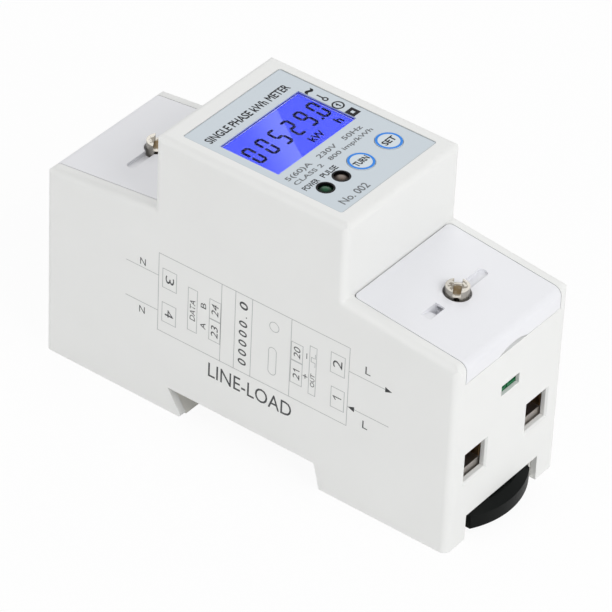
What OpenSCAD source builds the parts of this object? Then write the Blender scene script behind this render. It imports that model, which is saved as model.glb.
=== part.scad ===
// Two-module single-phase energy meter for a 35 mm rail.
// X runs along the meter, +Y is the far side, +Z points out of the front.
// The origin lies on the rail seat, on the rail's centre line.

/* [Case] */
// Length of the case
case_l = 100; // [96:0.5:108]
// Width of the case, two modules of 18
case_w = 36; // [35:0.5:40]
// Height of the front face above the rail seat
front_z = 59.2; // [58:0.1:63]
// Length of the raised front
hump_l = 46; // [45:0.5:48]
// Height of the shoulder where it meets the raised front
shoulder_in_z = 41.9; // [41:0.1:44]
// Height of the shoulder at the end of the case
shoulder_out_z = 38.9; // [38:0.1:41]
// Depth of the feet below the rail seat
foot_drop = 5.8; // [5.2:0.1:7]
// Thickness of the long side walls
side_wall = 1.6; // [1.3:0.1:1.9]
// Thickness of the end walls
end_wall = 1.3; // [1:0.1:1.8]
// Thickness of the walls of the raised front
hump_wall = 1.6; // [1.2:0.1:1.8]
// Thickness of the front plate
front_wall = 2; // [1.9:0.1:2.3]
// Radius of the outer edges
edge_r = 1.5; // [0.8:0.1:2]
// Radius of the case's top end corners
end_r = 2; // [1:0.1:3]
// Height of the deck's top under the terminal covers
deck_z = 31.5; // [31:0.1:32.5]
// Thickness of that deck
deck_t = 1.4; // [1:0.1:2]
// Clearance between moulded parts
gap = 0.1; // [0.05:0.05:0.15]

/* [Rail seat] */
// Width of the mounting rail
rail_w = 35; // [34.8:0.1:35.2]
// Thickness of the mounting rail
rail_t = 1; // [0.9:0.1:1.2]
// Play past the rail's edge at the fixed hook
hook_play = 0.95; // [0.5:0.05:1.2]
// Reach of the fixed hook under the rail
hook_reach = 3.75; // [3:0.05:4.5]
// Gap past the rail's edge on the clip side
catch_gap = 0.42; // [0.3:0.02:0.8]
// Slope of the leg on the clip side
catch_slope = 1.5; // [0.5:0.1:2]
// Thickness of the base plate above the rail
base_t = 1.8; // [1.4:0.1:2.4]

/* [Clip] */
// Width of the sliding clip
clip_w = 19.6; // [18:0.2:22.6]
// Thickness of the clip
clip_t = 4.3; // [3.8:0.1:4.6]
// Gap between the clip and the base plate
clip_top_gap = 0.3; // [0.2:0.05:0.5]
// How far the clip's nose reaches under the rail
clip_bite = 1.9; // [1.2:0.1:2.5]
// Travel of the clip
clip_travel = 4; // [2.5:0.1:4.2]
// How far the clip's round head stands out of the case
clip_head = 2.5; // [1.5:0.1:4]
// Radius of the clip's round head
clip_head_r = 19; // [16:0.5:26]
// Bevel round the top of the clip's head
clip_bevel = 1.3; // [0.6:0.1:1.8]
// Width of the opening for the clip in the end wall
clip_window_w = 23.6; // [23.2:0.1:24.4]
// Outer diameter of the clip spring
spring_d = 3.4; // [2.8:0.1:3.6]
// Wire diameter of the clip spring
spring_wire = 0.45; // [0.3:0.05:0.6]
// Fitted length of the clip spring
spring_l = 12; // [10:0.5:13]

/* [Terminals] */
// Distance of the mains windows' middle from the side of the case
mains_in = 7.95; // [7.8:0.05:8.2]
// Height of the mains windows' centre above the rail seat
mains_z = 12.55; // [12:0.05:13]
// Width of a mains window
mains_w = 6.8; // [6:0.1:7.2]
// Height of a mains window
mains_h = 6.9; // [6:0.1:7.2]
// Length of a brass terminal
block_l = 9.4; // [8.5:0.1:9.8]
// Width of a brass terminal
block_w = 9.6; // [9:0.1:9.8]
// Height of a brass terminal
block_h = 12.6; // [12:0.1:13]
// Thickness of a brass terminal's floor
block_floor = 2; // [1.5:0.1:2.2]
// Radius of a mains clamping screw
clamp_r = 2.5; // [2:0.1:2.8]
// Width of a signal window
signal_w = 5.8; // [5:0.1:6.4]
// Height of a signal window
signal_h = 2.4; // [2:0.1:3]
// Wall left in front of a signal terminal
signal_wall = 0.8; // [0.6:0.1:0.9]
// Height of the signal windows' centre above the rail seat
signal_z = 25.1; // [24.8:0.1:26]
// Width of a signal terminal
signal_block_w = 7; // [6.6:0.1:7.4]
// Length of a signal terminal
signal_block_l = 8.5; // [7.8:0.1:9]
// Width of a wire hole in a signal terminal
signal_hole_w = 2.2; // [1.8:0.1:2.6]
// Height of a wire hole in a signal terminal
signal_hole_h = 1.5; // [1.2:0.1:2]
// Pitch of the two poles of a signal terminal
signal_pitch = 3.5; // [3.3:0.1:3.6]

/* [Terminal covers] */
// Width of the case's rim beside a terminal cover
cover_rim = 2.7; // [2.5:0.1:3.2]
// Gap between a terminal cover and the raised front
cover_gap = 0.25; // [0.15:0.05:0.4]
// Gap between a terminal cover and the rims beside it
cover_fit = 0.15; // [0.1:0.05:0.2]
// Radius of a terminal cover's inner corners
cover_r = 1.1; // [0.6:0.1:1.8]
// Thickness of a terminal cover's top
cover_t = 1.6; // [1.2:0.1:2]
// Thickness of a terminal cover's skirt
skirt_t = 1.2; // [1:0.1:1.6]
// Height of the lower edge of a cover's end lip
lip_z = 34.3; // [33.6:0.1:35]
// Width of the finger notch in the lip
notch_w = 9.2; // [7:0.1:12]
// Height of the finger notch
notch_h = 1; // [0.5:0.1:1.6]
// Gap between the boss of a sealing screw and the signal terminal
seal_gap = 1.2; // [0.8:0.1:2]
// Radius of the hole for a sealing screw's head
seal_hole_r = 2.85; // [2.7:0.05:3.1]
// Radius of a sealing screw's head
seal_head_r = 2.4; // [2.2:0.05:2.5]
// Height of a sealing screw's head
seal_head_h = 3.4; // [3:0.1:3.8]
// How far a sealing screw's head stands above the cover
seal_proud = 1.6; // [1.2:0.1:2]
// Width of the slot in a sealing screw's head
seal_slot_w = 1.6; // [1:0.1:1.8]
// Radius of a sealing screw's shank
seal_shank_r = 1.5; // [1.25:0.05:1.6]
// Width of the slots for the sealing wire
wire_slot_w = 2.2; // [1.6:0.1:2.6]
// Depth of the slots for the sealing wire
wire_slot_d = 1.3; // [1:0.1:1.5]
// Depth of the long slot at its outer end
wire_slot_end_d = 0.55; // [0.3:0.05:0.9]
// Length of the pit beside the bridge of the short slot
wire_pit_l = 2; // [1.4:0.1:2.6]
// Depth of that pit
wire_pit_d = 2.4; // [1.8:0.1:2.8]

/* [Face] */
// Width of the case's rim at the ends of the face film
film_rim_x = 4; // [3.7:0.1:4.5]
// Width of the case's rim beside the face film
film_rim_y = 3; // [2.5:0.1:3.2]
// Thickness of the face film
film_t = 0.3; // [0.2:0.05:0.4]
// Depth of the face film's top below the case's front
film_sink = 0.15; // [0.1:0.05:0.3]
// Offset of the face film from the middle of the case
film_x = 0.3; // [0:0.1:0.5]
// Size of the display window along the meter
lcd_x = 14.1; // [13:0.1:14.6]
// Film between the display window and the film's sides
lcd_rim = 2.8; // [2.5:0.1:3.5]
// Film between the display window and the film's end
lcd_in = 7.3; // [7:0.1:7.5]
// Offset of the display window across the meter
lcd_off_y = -0.7; // [-0.8:0.1:0]
// Thickness of the window pane
pane_t = 0.4; // [0.3:0.05:0.5]
// Width of the ledge that carries the pane
pane_ledge = 0.6; // [0.4:0.1:0.8]
// Gap between the pane and the display glass
pane_gap = 0.05; // [0.05:0.05:0.3]
// Thickness of the rear plate of the display glass
lcd_t = 1.9; // [1.6:0.1:2.2]
// Margin of the display glass round the window
lcd_margin = 1.4; // [1:0.1:1.5]
// Distance of the keys and lamps from the film's end
key_in = 7.3; // [7:0.1:7.6]
// Film between the outermost controls and the film's sides
control_rim = 2.75; // [2.5:0.05:3]
// Film between the two keys
key_gap = 3.3; // [2.8:0.1:3.6]
// Film between the keys and the lamps
key_lamp_gap = 1.6; // [1.4:0.1:2]
// Film between the two lamps
lamp_gap = 1.2; // [1:0.1:1.5]
// Radius of a key
key_r = 2.75; // [2.5:0.05:2.9]
// Travel of a key
key_travel = 0.3; // [0.2:0.05:0.4]
// Radius of a lamp
lamp_r = 1.5; // [1.3:0.05:1.5]
// Radius of the dome on a lamp
lamp_dome_r = 2.6; // [2:0.1:4]
// Outer radius of a lamp's black collar
collar_r = 1.85; // [1.75:0.05:2]

/* [Boards] */
// Thickness of the circuit boards
pcb_t = 1.6; // [1.2:0.1:1.8]
// Height of the main board's top above the rail seat
main_z = 22.5; // [22.2:0.1:22.6]
// Depth of the display board's top below the front
display_drop = 7.6; // [7.4:0.1:8]
// Radius of the screws of the boards
board_screw_r = 1.1; // [0.9:0.05:1.2]
// Radius of the main board's posts
post_r = 2.4; // [2:0.1:2.6]
// Gap between the main board's posts and the brass terminals
post_gap = 4.6; // [4:0.1:5.5]
// Gap between the main board's posts and the side walls
post_wall_gap = 1.1; // [0.5:0.1:1.5]

/* [Components] */
// Gap between the tall parts and the walls round them
part_gap = 1.2; // [0.8:0.1:1.5]
// Length of the film capacitor
film_cap_l = 17.5; // [13:0.5:18]
// Width of the film capacitor
film_cap_w = 8.5; // [6:0.5:9]
// Height of the film capacitor
film_cap_h = 15; // [10:0.5:18]
// Radius of the smoothing capacitor
bulk_r = 5; // [4:0.5:5]
// Height of the smoothing capacitor
bulk_h = 20; // [12:0.5:22]
// Radius of the varistor
varistor_r = 5.5; // [3.5:0.5:6]
// Thickness of the varistor
varistor_t = 4; // [3:0.5:4]
// Radius of the fuse resistor
resistor_r = 2; // [1:0.1:2.2]
// Length of the fuse resistor
resistor_l = 8; // [6:0.5:9]
// Length of the metering chip
meter_chip_l = 8.2; // [5:0.1:8.5]
// Width of the metering chip
meter_chip_w = 5.3; // [4:0.1:5.5]
// Side of the control chip
control_chip_s = 10; // [7:0.5:10]
// Length of an optocoupler
opto_l = 6.5; // [4:0.1:6.5]
// Width of an optocoupler
opto_w = 4.6; // [4:0.1:4.8]
// Height of an optocoupler
opto_h = 3.2; // [2:0.1:3.4]
// Length of the crystal
crystal_l = 11; // [7:0.5:11]
// Width of the crystal
crystal_w = 4; // [3:0.1:4.2]
// Height of the crystal
crystal_h = 3.4; // [2.5:0.1:3.5]
// Width of the ribbon lead
ribbon_w = 10; // [6:0.5:11]
// Thickness of the ribbon lead
ribbon_t = 0.9; // [0.5:0.1:1]
// Height of the ribbon lead's sockets
socket_h = 4; // [3:0.5:6]

/* [Hidden] */
$fn = 48;

half_l = case_l / 2;
half_w = case_w / 2;
half_h = hump_l / 2;
in_l = half_l - end_wall;
in_w = half_w - side_wall;
eps = 0.02;
slope = (shoulder_in_z - shoulder_out_z) / (half_l - half_h);
slope_deg = atan(slope);
slope_l = norm([half_l - half_h, shoulder_in_z - shoulder_out_z]);

hook_seat_x = -(rail_w / 2 + hook_play);
hook_foot_x = hook_seat_x + hook_reach;
catch_seat_x = rail_w / 2 + catch_gap;
catch_foot_x = catch_seat_x + catch_slope;

mains_y = half_w - mains_in;
cover_w = case_w - 2 * cover_rim;
pocket_w = cover_w / 2 + cover_fit;
film_l = hump_l - 2 * film_rim_x;
film_w = case_w - 2 * film_rim_y;
lcd_y = film_w - 2 * lcd_rim;
lcd_off_x = film_x - film_l / 2 + lcd_in + lcd_x / 2;
key_x = film_x + film_l / 2 - key_in;
control_room = film_w - 4 * key_r - 4 * collar_r;
gap_fit = control_room / (2 * control_rim + key_gap + key_lamp_gap + lamp_gap);
set_y = film_w / 2 - control_rim * gap_fit - key_r;
turn_y = set_y - 2 * key_r - key_gap * gap_fit;
pulse_y = turn_y - key_r - key_lamp_gap * gap_fit - collar_r;
power_y = pulse_y - 2 * collar_r - lamp_gap * gap_fit;
cover_x0 = half_h + cover_gap;
film_top = front_z - film_sink;
film_bottom = film_top - film_t;
front_under = front_z - front_wall;
pane_bottom = film_bottom - pane_t;
lcd_top = front_under - gap;
lcd_bottom = lcd_top - lcd_t;
display_top = front_z - display_drop;
display_bottom = display_top - pcb_t;
main_bottom = main_z - pcb_t;

signal_x1 = half_l - signal_wall - 0.1;
signal_x0 = signal_x1 - signal_block_l;
seal_boss_r = seal_shank_r + 1.5;
seal_x = signal_x0 - seal_gap - seal_boss_r;
seal_cover_z = shoulder_z(seal_x);
seal_head_top = seal_cover_z + seal_proud;
seal_head_bottom = seal_head_top - seal_head_h;
seal_ledge_t = 1.2;
seal_tube_wall = 1.4;
seal_boss_top = seal_head_bottom - seal_ledge_t - gap;
seal_boss_bottom = deck_z - deck_t - 4;
seal_screw_end = seal_boss_bottom + 0.5;
seal_slot_angle = -58;
screw_fit = 0.05;

block_x1 = in_l - 0.3;
block_x0 = block_x1 - block_l;
block_z0 = mains_z - mains_h / 2 - 0.3;
block_hole_w = mains_w;
block_hole_z0 = block_z0 + block_floor;
block_hole_h = 6.8;
clamp_x = (block_x0 + block_x1) / 2;
clamp_head_r = clamp_r + 0.5;
clamp_head_h = 3.4;
clamp_tip_gap = 0.2;
guide_r = clamp_head_r + 0.25;
guide_wall = 1;

signal_h_body = deck_z - deck_t - gap - main_z;
signal_screw_x = signal_x0 + 3;
signal_screw_r = 1.2;
signal_screw_h = 2.2;
signal_room_w = signal_block_w / 2 + 0.2;
tongue_w = 2 * (mains_y - block_w / 2) - 1.2;

board_x = block_x0 - 2.2;
shunt_t = 1.6;
shunt_z0 = block_z0 + 0.2;
shunt_h = 6;
shunt_element_w = 5;
tab_w = 1.2;
tab_y = shunt_element_w / 2 + 0.9;
tab_top = main_z + 1;
board_post_x = block_x0 - post_gap - post_r;
board_post_y = in_w - post_r - post_wall_gap;
guide_z0 = block_z0 + block_h + clamp_head_h + 0.9;
window_bevel = 0.4;
snap_x = 28;
snap_l = 5;
snap_h = 1.2;
snap_out = 0.6;
snap_z = 0.3;
core_rib = 1.5;
core_l = (in_l + hook_foot_x - 5 * core_rib) / 3;
core_w = (2 * in_w - 4 * core_rib) / 3;
near_slot_0 = 5.4;
near_slot_1 = 10.1;
far_slot_1 = 9.1;
notch_r = (pow(notch_w / 2, 2) + pow(notch_h, 2)) / (2 * notch_h);
hump_in_x = half_h - hump_wall;
ribbon_x = hump_in_x - 3.6;
film_cap_x = -(hump_in_x - part_gap - film_cap_l / 2);
film_cap_y = -(in_w - part_gap - film_cap_w / 2);
bulk_x = -(hump_in_x - part_gap - bulk_r);
bulk_y = in_w - part_gap - bulk_r;
varistor_x = film_cap_x + film_cap_l / 2 + 3.2 + varistor_t / 2;
varistor_y = -(in_w - part_gap - varistor_r);
resistor_x = varistor_x + varistor_t / 2 + 2 + resistor_r;
leg_out = 1;
meter_chip_h = 1.5;
meter_leg_pitch = 0.65;
control_chip_h = 1.4;
control_leg_pitch = 0.8;
opto_leg_pitch = 2.54;
control_chip_gap = 9.2;
crystal_gap = 4.2;
meter_chip_x = board_post_x - post_r - 1.5 - meter_chip_w / 2 - leg_out;
meter_chip_y = in_w - part_gap - meter_chip_l / 2;
control_chip_x = ribbon_x - control_chip_gap - control_chip_s / 2;
control_chip_y = in_w - part_gap - leg_out - control_chip_s / 2;
opto_x = board_x - 1 - opto_l / 2;
opto_y = opto_w / 2 + leg_out + 0.3;
crystal_x = board_x - crystal_gap - crystal_w / 2;
crystal_y = -(board_post_y - post_r - 0.6 - crystal_l / 2);
board_head_r = 2;
board_head_h = 1.4;
board_screw_l = 8;

display_post_x = hump_in_x - 2.8;
display_post_y = in_w - 2.7;
display_post_r = 2.1;
lamp_flange_r = lamp_r + 0.35;
collar_hole = collar_r + 0.05;
collar_len = 2.4;
key_hole_r = key_r + 0.1;
key_flange_r = key_r + 0.7;
key_flange_t = 0.8;
key_stem_r = 1.3;
display_screw_l = pcb_t + 3.5;
socket_l = ribbon_t + 3.5;
socket_w = ribbon_w + 2;
switch_size = 6;
plunger_r = 1.6;
plunger_h = 1.5;
switch_top = display_top + 3.2;
plunger_top = switch_top + 0.7;

clip_top = -clip_top_gap;
clip_bottom = clip_top - clip_t;
clip_nose_x = rail_w / 2 - clip_bite;
clip_step_x = catch_foot_x + 0.2;
clip_nose_top = -rail_t - 0.15;
clip_apex_x = half_l + clip_head;
clip_arc_x = clip_apex_x - clip_head_r + sqrt(pow(clip_head_r, 2) - pow(clip_w / 2, 2));
clip_side_gap = 0.2;
flange_out = 1.2;
flange_t = 1.6;
flange_z = clip_bottom + (clip_t - flange_t) / 2;
flange_x0 = catch_foot_x + 2.6;
flange_x1 = in_l - clip_travel - 0.6;
spring_x0 = flange_x0 + 2;
spring_x1 = spring_x0 + spring_l;
spring_rib_t = 2;
spring_window_x1 = spring_x1 + spring_rib_t + 0.5;
spring_window_w = spring_d + 1;
spring_z = (clip_top + clip_bottom) / 2;
spring_turns = 8;
spring_steps = 12;

// Height of the shoulder's surface at a distance from the middle.
function shoulder_z(x) = shoulder_in_z - (x - half_h) * slope;

// Points of one corner of an outline, rounded to radius r.
function corner(a, p, b, r, steps) =
    let (
        u = (a - p) / norm(a - p),
        v = (b - p) / norm(b - p),
        half = acos(u * v) / 2,
        c = p + (u + v) / norm(u + v) * r / sin(half),
        from = p + u * r / tan(half) - c,
        to = p + v * r / tan(half) - c,
        a0 = atan2(from[1], from[0]),
        turn = atan2(from[0] * to[1] - from[1] * to[0], from * to)
    )
    [for (i = [0 : steps]) c + r * [cos(a0 + turn * i / steps), sin(a0 + turn * i / steps)]];

// An outline whose corners have the radii of a list; 0 leaves a corner sharp.
function rounded(points, radii, steps = 6) =
    let (n = len(points))
    [for (i = [0 : n - 1])
        each (radii[i] == 0 ? [points[i]]
            : corner(points[(i + n - 1) % n], points[i], points[(i + 1) % n], radii[i], steps))];

// Extrudes an outline drawn in X and Z across the case's width.
module across(width) {
    rotate([90, 0, 0]) linear_extrude(width, center = true) children();
}

// Extrudes an outline drawn in Y and Z along X from x0 to x1.
module along(x0, x1) {
    translate([x0, 0, 0]) rotate([90, 0, 90]) linear_extrude(x1 - x0) children();
}

// A box between two corners.
module block(low, high) {
    translate(low) cube(high - low);
}

// A rectangle with round corners, centred on the origin.
module round_rect(l, w, r) {
    square([l - 2 * r, w], center = true);
    square([l, w - 2 * r], center = true);
    for (x = [-1, 1], y = [-1, 1]) translate([x * (l / 2 - r), y * (w / 2 - r)]) circle(r);
}

// A copy at both ends of the case, turned half a turn about Z.
module both_ends() {
    children();
    rotate([0, 0, 180]) children();
}

// What is cut off an edge on the X axis to round it, with the material at -Y and -Z.
module edge_off(l, r) {
    rotate([90, 0, 90]) linear_extrude(l) difference() {
        translate([-r, -r]) square(r + 1);
        translate([-r, -r]) circle(r);
    }
}

// A slotted screw that points down, with its head's underside at z = 0.
module slotted_screw(r, l, head_r, head_h, slot_w, slot_d) {
    difference() {
        union() {
            cylinder(h = head_h, r = head_r);
            translate([0, 0, -l]) cylinder(h = l + eps, r = r);
        }
        translate([-head_r - 1, -slot_w / 2, head_h - slot_d]) cube([2 * head_r + 2, slot_w, slot_d + 1]);
    }
}

// The whole side view of the case.
function case_outline() = [
    [-half_l, -foot_drop], [-half_l, shoulder_out_z], [-half_h, shoulder_in_z], [-half_h, front_z],
    [half_h, front_z], [half_h, shoulder_in_z], [half_l, shoulder_out_z], [half_l, -foot_drop],
    [catch_foot_x, -foot_drop], [catch_seat_x, 0], [hook_seat_x, 0], [hook_foot_x, -foot_drop]
];

module case_body() {
    difference() {
        intersection() {
            across(case_w)
                polygon(rounded(case_outline(),
                    [0, end_r, 0, edge_r, edge_r, 0, end_r, 0, 0, 0.5, 0, 0.5]));
            translate([0, 0, -foot_drop])
                linear_extrude(foot_drop + front_z) round_rect(case_l, case_w, edge_r);
        }
        // edges of the raised front
        for (s = [0, 180]) rotate([0, 0, s]) {
            translate([-half_h - 1, half_w, front_z]) edge_off(hump_l + 2, edge_r);
            for (m = [0, 1]) mirror([0, m, 0])
                translate([half_h, half_w, shoulder_in_z]) rotate([0, -90, 0]) rotate([180, 0, 0])
                    mirror([0, 1, 0]) edge_off(front_z - shoulder_in_z + 1, edge_r);
            // upper edges of the shoulders' side walls
            for (m = [0, 1]) mirror([0, m, 0])
                translate([half_h, half_w, shoulder_in_z]) rotate([0, slope_deg, 0])
                    edge_off(slope_l + 1, edge_r);
            // the same round carried about the corner between the two
            for (m = [0, 1]) mirror([0, m, 0])
                translate([half_h, half_w, shoulder_in_z]) rotate([-90, 0, 0]) rotate_extrude()
                    difference() {
                        translate([0, -edge_r]) square([edge_r, edge_r + 1]);
                        translate([edge_r, -edge_r]) circle(edge_r);
                    }
        }
    }
}

// A plan from x0 to x1 whose two corners at x0 are round.
module inner_end_round(x0, x1, half_width, r) {
    polygon(rounded([[x0, -half_width], [x1, -half_width], [x1, half_width], [x0, half_width]],
        [r, 0, 0, r]));
}

// The openings in an end wall, on the +X side.
module end_openings() {
    for (y = [-mains_y, mains_y])
        along(in_l - 1, half_l + 1)
            translate([y, mains_z]) square([mains_w, mains_h], center = true);
    for (y = [-mains_y, mains_y]) hull() {
        along(half_l - window_bevel, half_l + eps)
            translate([y, mains_z]) square([mains_w, mains_h], center = true);
        along(half_l, half_l + eps)
            translate([y, mains_z])
                square([mains_w + 2 * window_bevel, mains_h + 2 * window_bevel], center = true);
    }
    along(in_l - 1, half_l + 1) translate([0, signal_z]) square([signal_w, signal_h], center = true);
}

module outer_case() {
    color([0.93, 0.93, 0.925]) difference() {
        union() {
            difference() {
                case_body();
                // room for the boards and terminals, open below
                block([-in_l, -in_w, -foot_drop - 1], [in_l, in_w, deck_z - deck_t]);
                // room inside the raised front
                block([-half_h + hump_wall, -in_w, 0], [half_h - hump_wall, in_w, front_under]);
                // wells of the terminal covers
                both_ends() {
                    translate([0, 0, deck_z]) linear_extrude(front_z)
                        inner_end_round(half_h, in_l, pocket_w, cover_r + cover_fit);
                    block([in_l - 1, -pocket_w, lip_z], [half_l + 1, pocket_w, front_z]);
                }
            }
            both_ends() {
                // screwdriver guides over the mains screws
                for (y = [-mains_y, mains_y]) translate([clamp_x, y, guide_z0])
                    cylinder(h = deck_z - deck_t - guide_z0 + 0.1, r = guide_r + guide_wall);
                // boss of the sealing screw
                translate([seal_x, 0, seal_boss_bottom])
                    cylinder(h = seal_boss_top - seal_boss_bottom, r = seal_boss_r);
            }
            // posts of the display board
            for (x = [-display_post_x, display_post_x], y = [-display_post_y, display_post_y])
                translate([x, y, display_top])
                    cylinder(h = front_under - display_top + eps, r = display_post_r);
        }
        both_ends() {
            end_openings();
            for (y = [-mains_y, mains_y])
                translate([clamp_x, y, guide_z0 - 1]) cylinder(h = deck_z - guide_z0 + 2, r = guide_r);
            for (y = [-1, 1]) translate([signal_screw_x, y * signal_pitch / 2, deck_z - deck_t - 1])
                cylinder(h = deck_t + 2, r = signal_screw_r + 0.2);
            translate([seal_x, 0, seal_boss_bottom - 1])
                cylinder(h = seal_boss_top, r = seal_shank_r + screw_fit);
            // sockets for the base's snap hooks
            for (m = [0, 1]) mirror([0, m, 0])
                block([snap_x - snap_l / 2 - gap, in_w - eps, snap_z - gap],
                      [snap_x + snap_l / 2 + gap, in_w + snap_out + gap, snap_z + snap_h + gap]);
            // room of the signal terminal, and the way in for it from below
            block([signal_x0 - 0.2, -signal_room_w, main_z], [in_l, signal_room_w, deck_z - deck_t]);
            block([in_l - 1, -signal_room_w, -foot_drop - 1],
                  [half_l - signal_wall, signal_room_w, deck_z - deck_t]);
        }
        // opening for the clip
        along(in_l - 1, half_l + 1)
            translate([-clip_window_w / 2, -foot_drop - 1]) square([clip_window_w, foot_drop + 1.15]);
        // seat of the face film
        translate([film_x, 0, film_bottom]) linear_extrude(2) round_rect(film_l + gap, film_w + gap, 0.6);
        // seat and opening of the window pane
        translate([lcd_off_x, lcd_off_y, pane_bottom])
            linear_extrude(2)
                square([lcd_x + 2 * pane_ledge + gap, lcd_y + 2 * pane_ledge + gap], center = true);
        translate([lcd_off_x, lcd_off_y, front_under - 1])
            linear_extrude(4) square([lcd_x, lcd_y], center = true);
        for (y = [turn_y, set_y]) translate([key_x, y, front_under - 1]) cylinder(h = 4, r = key_hole_r);
        for (y = [power_y, pulse_y]) translate([key_x, y, front_under - 1]) cylinder(h = 4, r = collar_hole);
        // holes for the display board's screws
        for (x = [-display_post_x, display_post_x], y = [-display_post_y, display_post_y])
            translate([x, y, display_top - 1]) cylinder(h = 5, r = board_screw_r + screw_fit);
    }
}

// A terminal cover on the +X side.
module cover() {
    x1 = in_l - gap;
    top_edge = [[cover_x0, shoulder_z(cover_x0)], [half_l, shoulder_z(half_l)]];
    difference() {
        intersection() {
            across(cover_w)
                polygon(rounded(
                    [[cover_x0, deck_z], top_edge[0], top_edge[1],
                     [half_l, lip_z + gap], [x1, lip_z + gap], [x1, deck_z]],
                    [0, 0, end_r, 0, 0, 0]));
            linear_extrude(front_z) inner_end_round(cover_x0, half_l + 1, cover_w / 2, cover_r);
        }
        difference() {
            // the space under the cover's top
            across(cover_w - 2 * skirt_t)
                polygon([[cover_x0 + skirt_t, deck_z - 1], [cover_x0 + skirt_t, top_edge[0][1] - cover_t],
                         [x1 - skirt_t, shoulder_z(x1 - skirt_t) - cover_t], [x1 - skirt_t, deck_z - 1]]);
            // tube round the sealing screw
            translate([seal_x, 0, seal_boss_top + gap])
                cylinder(h = 10, r = seal_hole_r + seal_tube_wall);
            // what is left solid round the wire slots, deeper at the pit and clear of the boss
            block([seal_x - wire_slot_w / 2 - 1, -near_slot_1 - 1, seal_cover_z - wire_slot_d - 1.6],
                  [seal_x + wire_slot_w / 2 + 1, far_slot_1 + 1, seal_cover_z]);
            block([seal_x - wire_slot_w / 2 - 1, -near_slot_1 - 1, seal_cover_z - wire_pit_d - 1.2],
                  [seal_x + wire_slot_w / 2 + 1, -max(near_slot_0 - 1.2, seal_boss_r + 0.3), seal_cover_z]);
        }
        translate([seal_x, 0, seal_head_bottom]) cylinder(h = 10, r = seal_hole_r);
        translate([seal_x, 0, seal_boss_top - 1]) cylinder(h = 10, r = seal_shank_r + 0.25);
        // ramped slots for the sealing wire, the near one with a pit and a bridge
        translate([seal_x, 0, seal_cover_z]) {
            wire_ramp(-near_slot_0, -wire_slot_d, -near_slot_1, -slope * wire_slot_w / 2);
            block([-wire_slot_w / 2, -near_slot_0 - wire_pit_l, -wire_pit_d],
                  [wire_slot_w / 2, -near_slot_0, 1]);
            intersection() {
                wire_ramp(0, -wire_slot_d, far_slot_1, -wire_slot_end_d);
                translate([0, 0, -wire_slot_d]) linear_extrude(wire_slot_d + 1) {
                    translate([-wire_slot_w / 2, 0]) square([wire_slot_w, far_slot_1 - wire_slot_w / 2]);
                    translate([0, far_slot_1 - wire_slot_w / 2]) circle(wire_slot_w / 2);
                }
            }
        }
        translate([seal_x - 0.8, -near_slot_0 - 0.6, seal_cover_z - wire_slot_d - 0.2])
            cube([1.6, near_slot_0 + 0.6, 1]);
        // finger notch in the end lip
        along(x1 - eps, half_l + 1)
            translate([0, lip_z + gap + notch_h - notch_r]) circle(notch_r, $fn = 96);
    }
}

// A slot whose floor runs from z0 at y0 to z1 at y1.
module wire_ramp(y0, z0, y1, z1) {
    along(-wire_slot_w / 2, wire_slot_w / 2) polygon([[y0, 1], [y0, z0], [y1, z1], [y1, 1]]);
}

module line_cover() {
    color([0.9, 0.9, 0.91]) cover();
}

module neutral_cover() {
    color([0.9, 0.9, 0.91]) rotate([0, 0, 180]) cover();
}

module seal_screws() {
    color([0.78, 0.75, 0.66]) both_ends()
        translate([seal_x, 0, seal_head_bottom]) rotate([0, 0, seal_slot_angle]) difference() {
            slotted_screw(seal_shank_r, seal_head_bottom - seal_screw_end, seal_head_r, seal_head_h,
                seal_slot_w, 1.1);
            // hole for the sealing wire
            translate([0, 0, seal_head_h - 1.7]) rotate([90, 0, 90])
                cylinder(h = 8, r = 0.55, center = true, $fn = 24);
        }
}

// The part of the base that stands below the rail seat on the hook's side.
module hook_foot() {
    set_in = 0.3;
    difference() {
        across(2 * (in_w - gap))
            polygon([[-in_l + gap, 0], [-in_l + gap, -foot_drop], [hook_foot_x - set_in, -foot_drop],
                     [hook_seat_x - set_in, eps]]);
        // cored pockets between ribs
        for (i = [0 : 2], j = [-1 : 1]) {
            x0 = -in_l + gap + core_rib + i * (core_l + core_rib);
            translate([x0 + core_l / 2, j * (core_w + core_rib), -foot_drop - 1])
                linear_extrude(foot_drop - 0.2) round_rect(core_l, core_w, 0.8);
        }
    }
}

// The two guide rails of the clip, below the rail seat.
module clip_rails() {
    rail_in = clip_w / 2 + clip_side_gap;
    set_in = 0.3;
    for (m = [0, 1]) mirror([0, m, 0]) difference() {
        intersection() {
            across(2 * (in_w - gap))
                polygon([[in_l - gap, 0], [in_l - gap, -foot_drop], [catch_foot_x + set_in, -foot_drop],
                         [catch_seat_x + set_in, eps]]);
            block([0, rail_in, -foot_drop - 1], [half_l, in_w, 1]);
        }
        // groove of the clip's flange
        block([flange_x0 - 0.2, 0, flange_z - 0.2],
              [half_l, rail_in + flange_out + 0.2 - clip_side_gap, flange_z + flange_t + 0.2]);
    }
}

module base() {
    color([0.86, 0.86, 0.85]) difference() {
        union() {
            block([-in_l + gap, -in_w + gap, 0], [in_l - gap, in_w - gap, base_t]);
            hook_foot();
            clip_rails();
            // rib that the clip spring leans on
            block([spring_x1, -spring_window_w / 2 + 0.3, clip_bottom + 0.2],
                  [spring_x1 + spring_rib_t, spring_window_w / 2 - 0.3, eps]);
            // posts of the main board
            for (x = [-board_post_x, board_post_x], y = [-board_post_y, board_post_y])
                translate([x, y, 0]) cylinder(h = main_bottom, r = post_r);
            both_ends() for (y = [-mains_y, mains_y]) terminal_stand(y);
            both_ends() for (m = [0, 1]) mirror([0, m, 0]) snap_hook();
        }
        for (x = [-board_post_x, board_post_x], y = [-board_post_y, board_post_y])
            translate([x, y, main_bottom - board_screw_l])
                cylinder(h = board_screw_l + 1, r = board_screw_r + screw_fit);
    }
}

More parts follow.
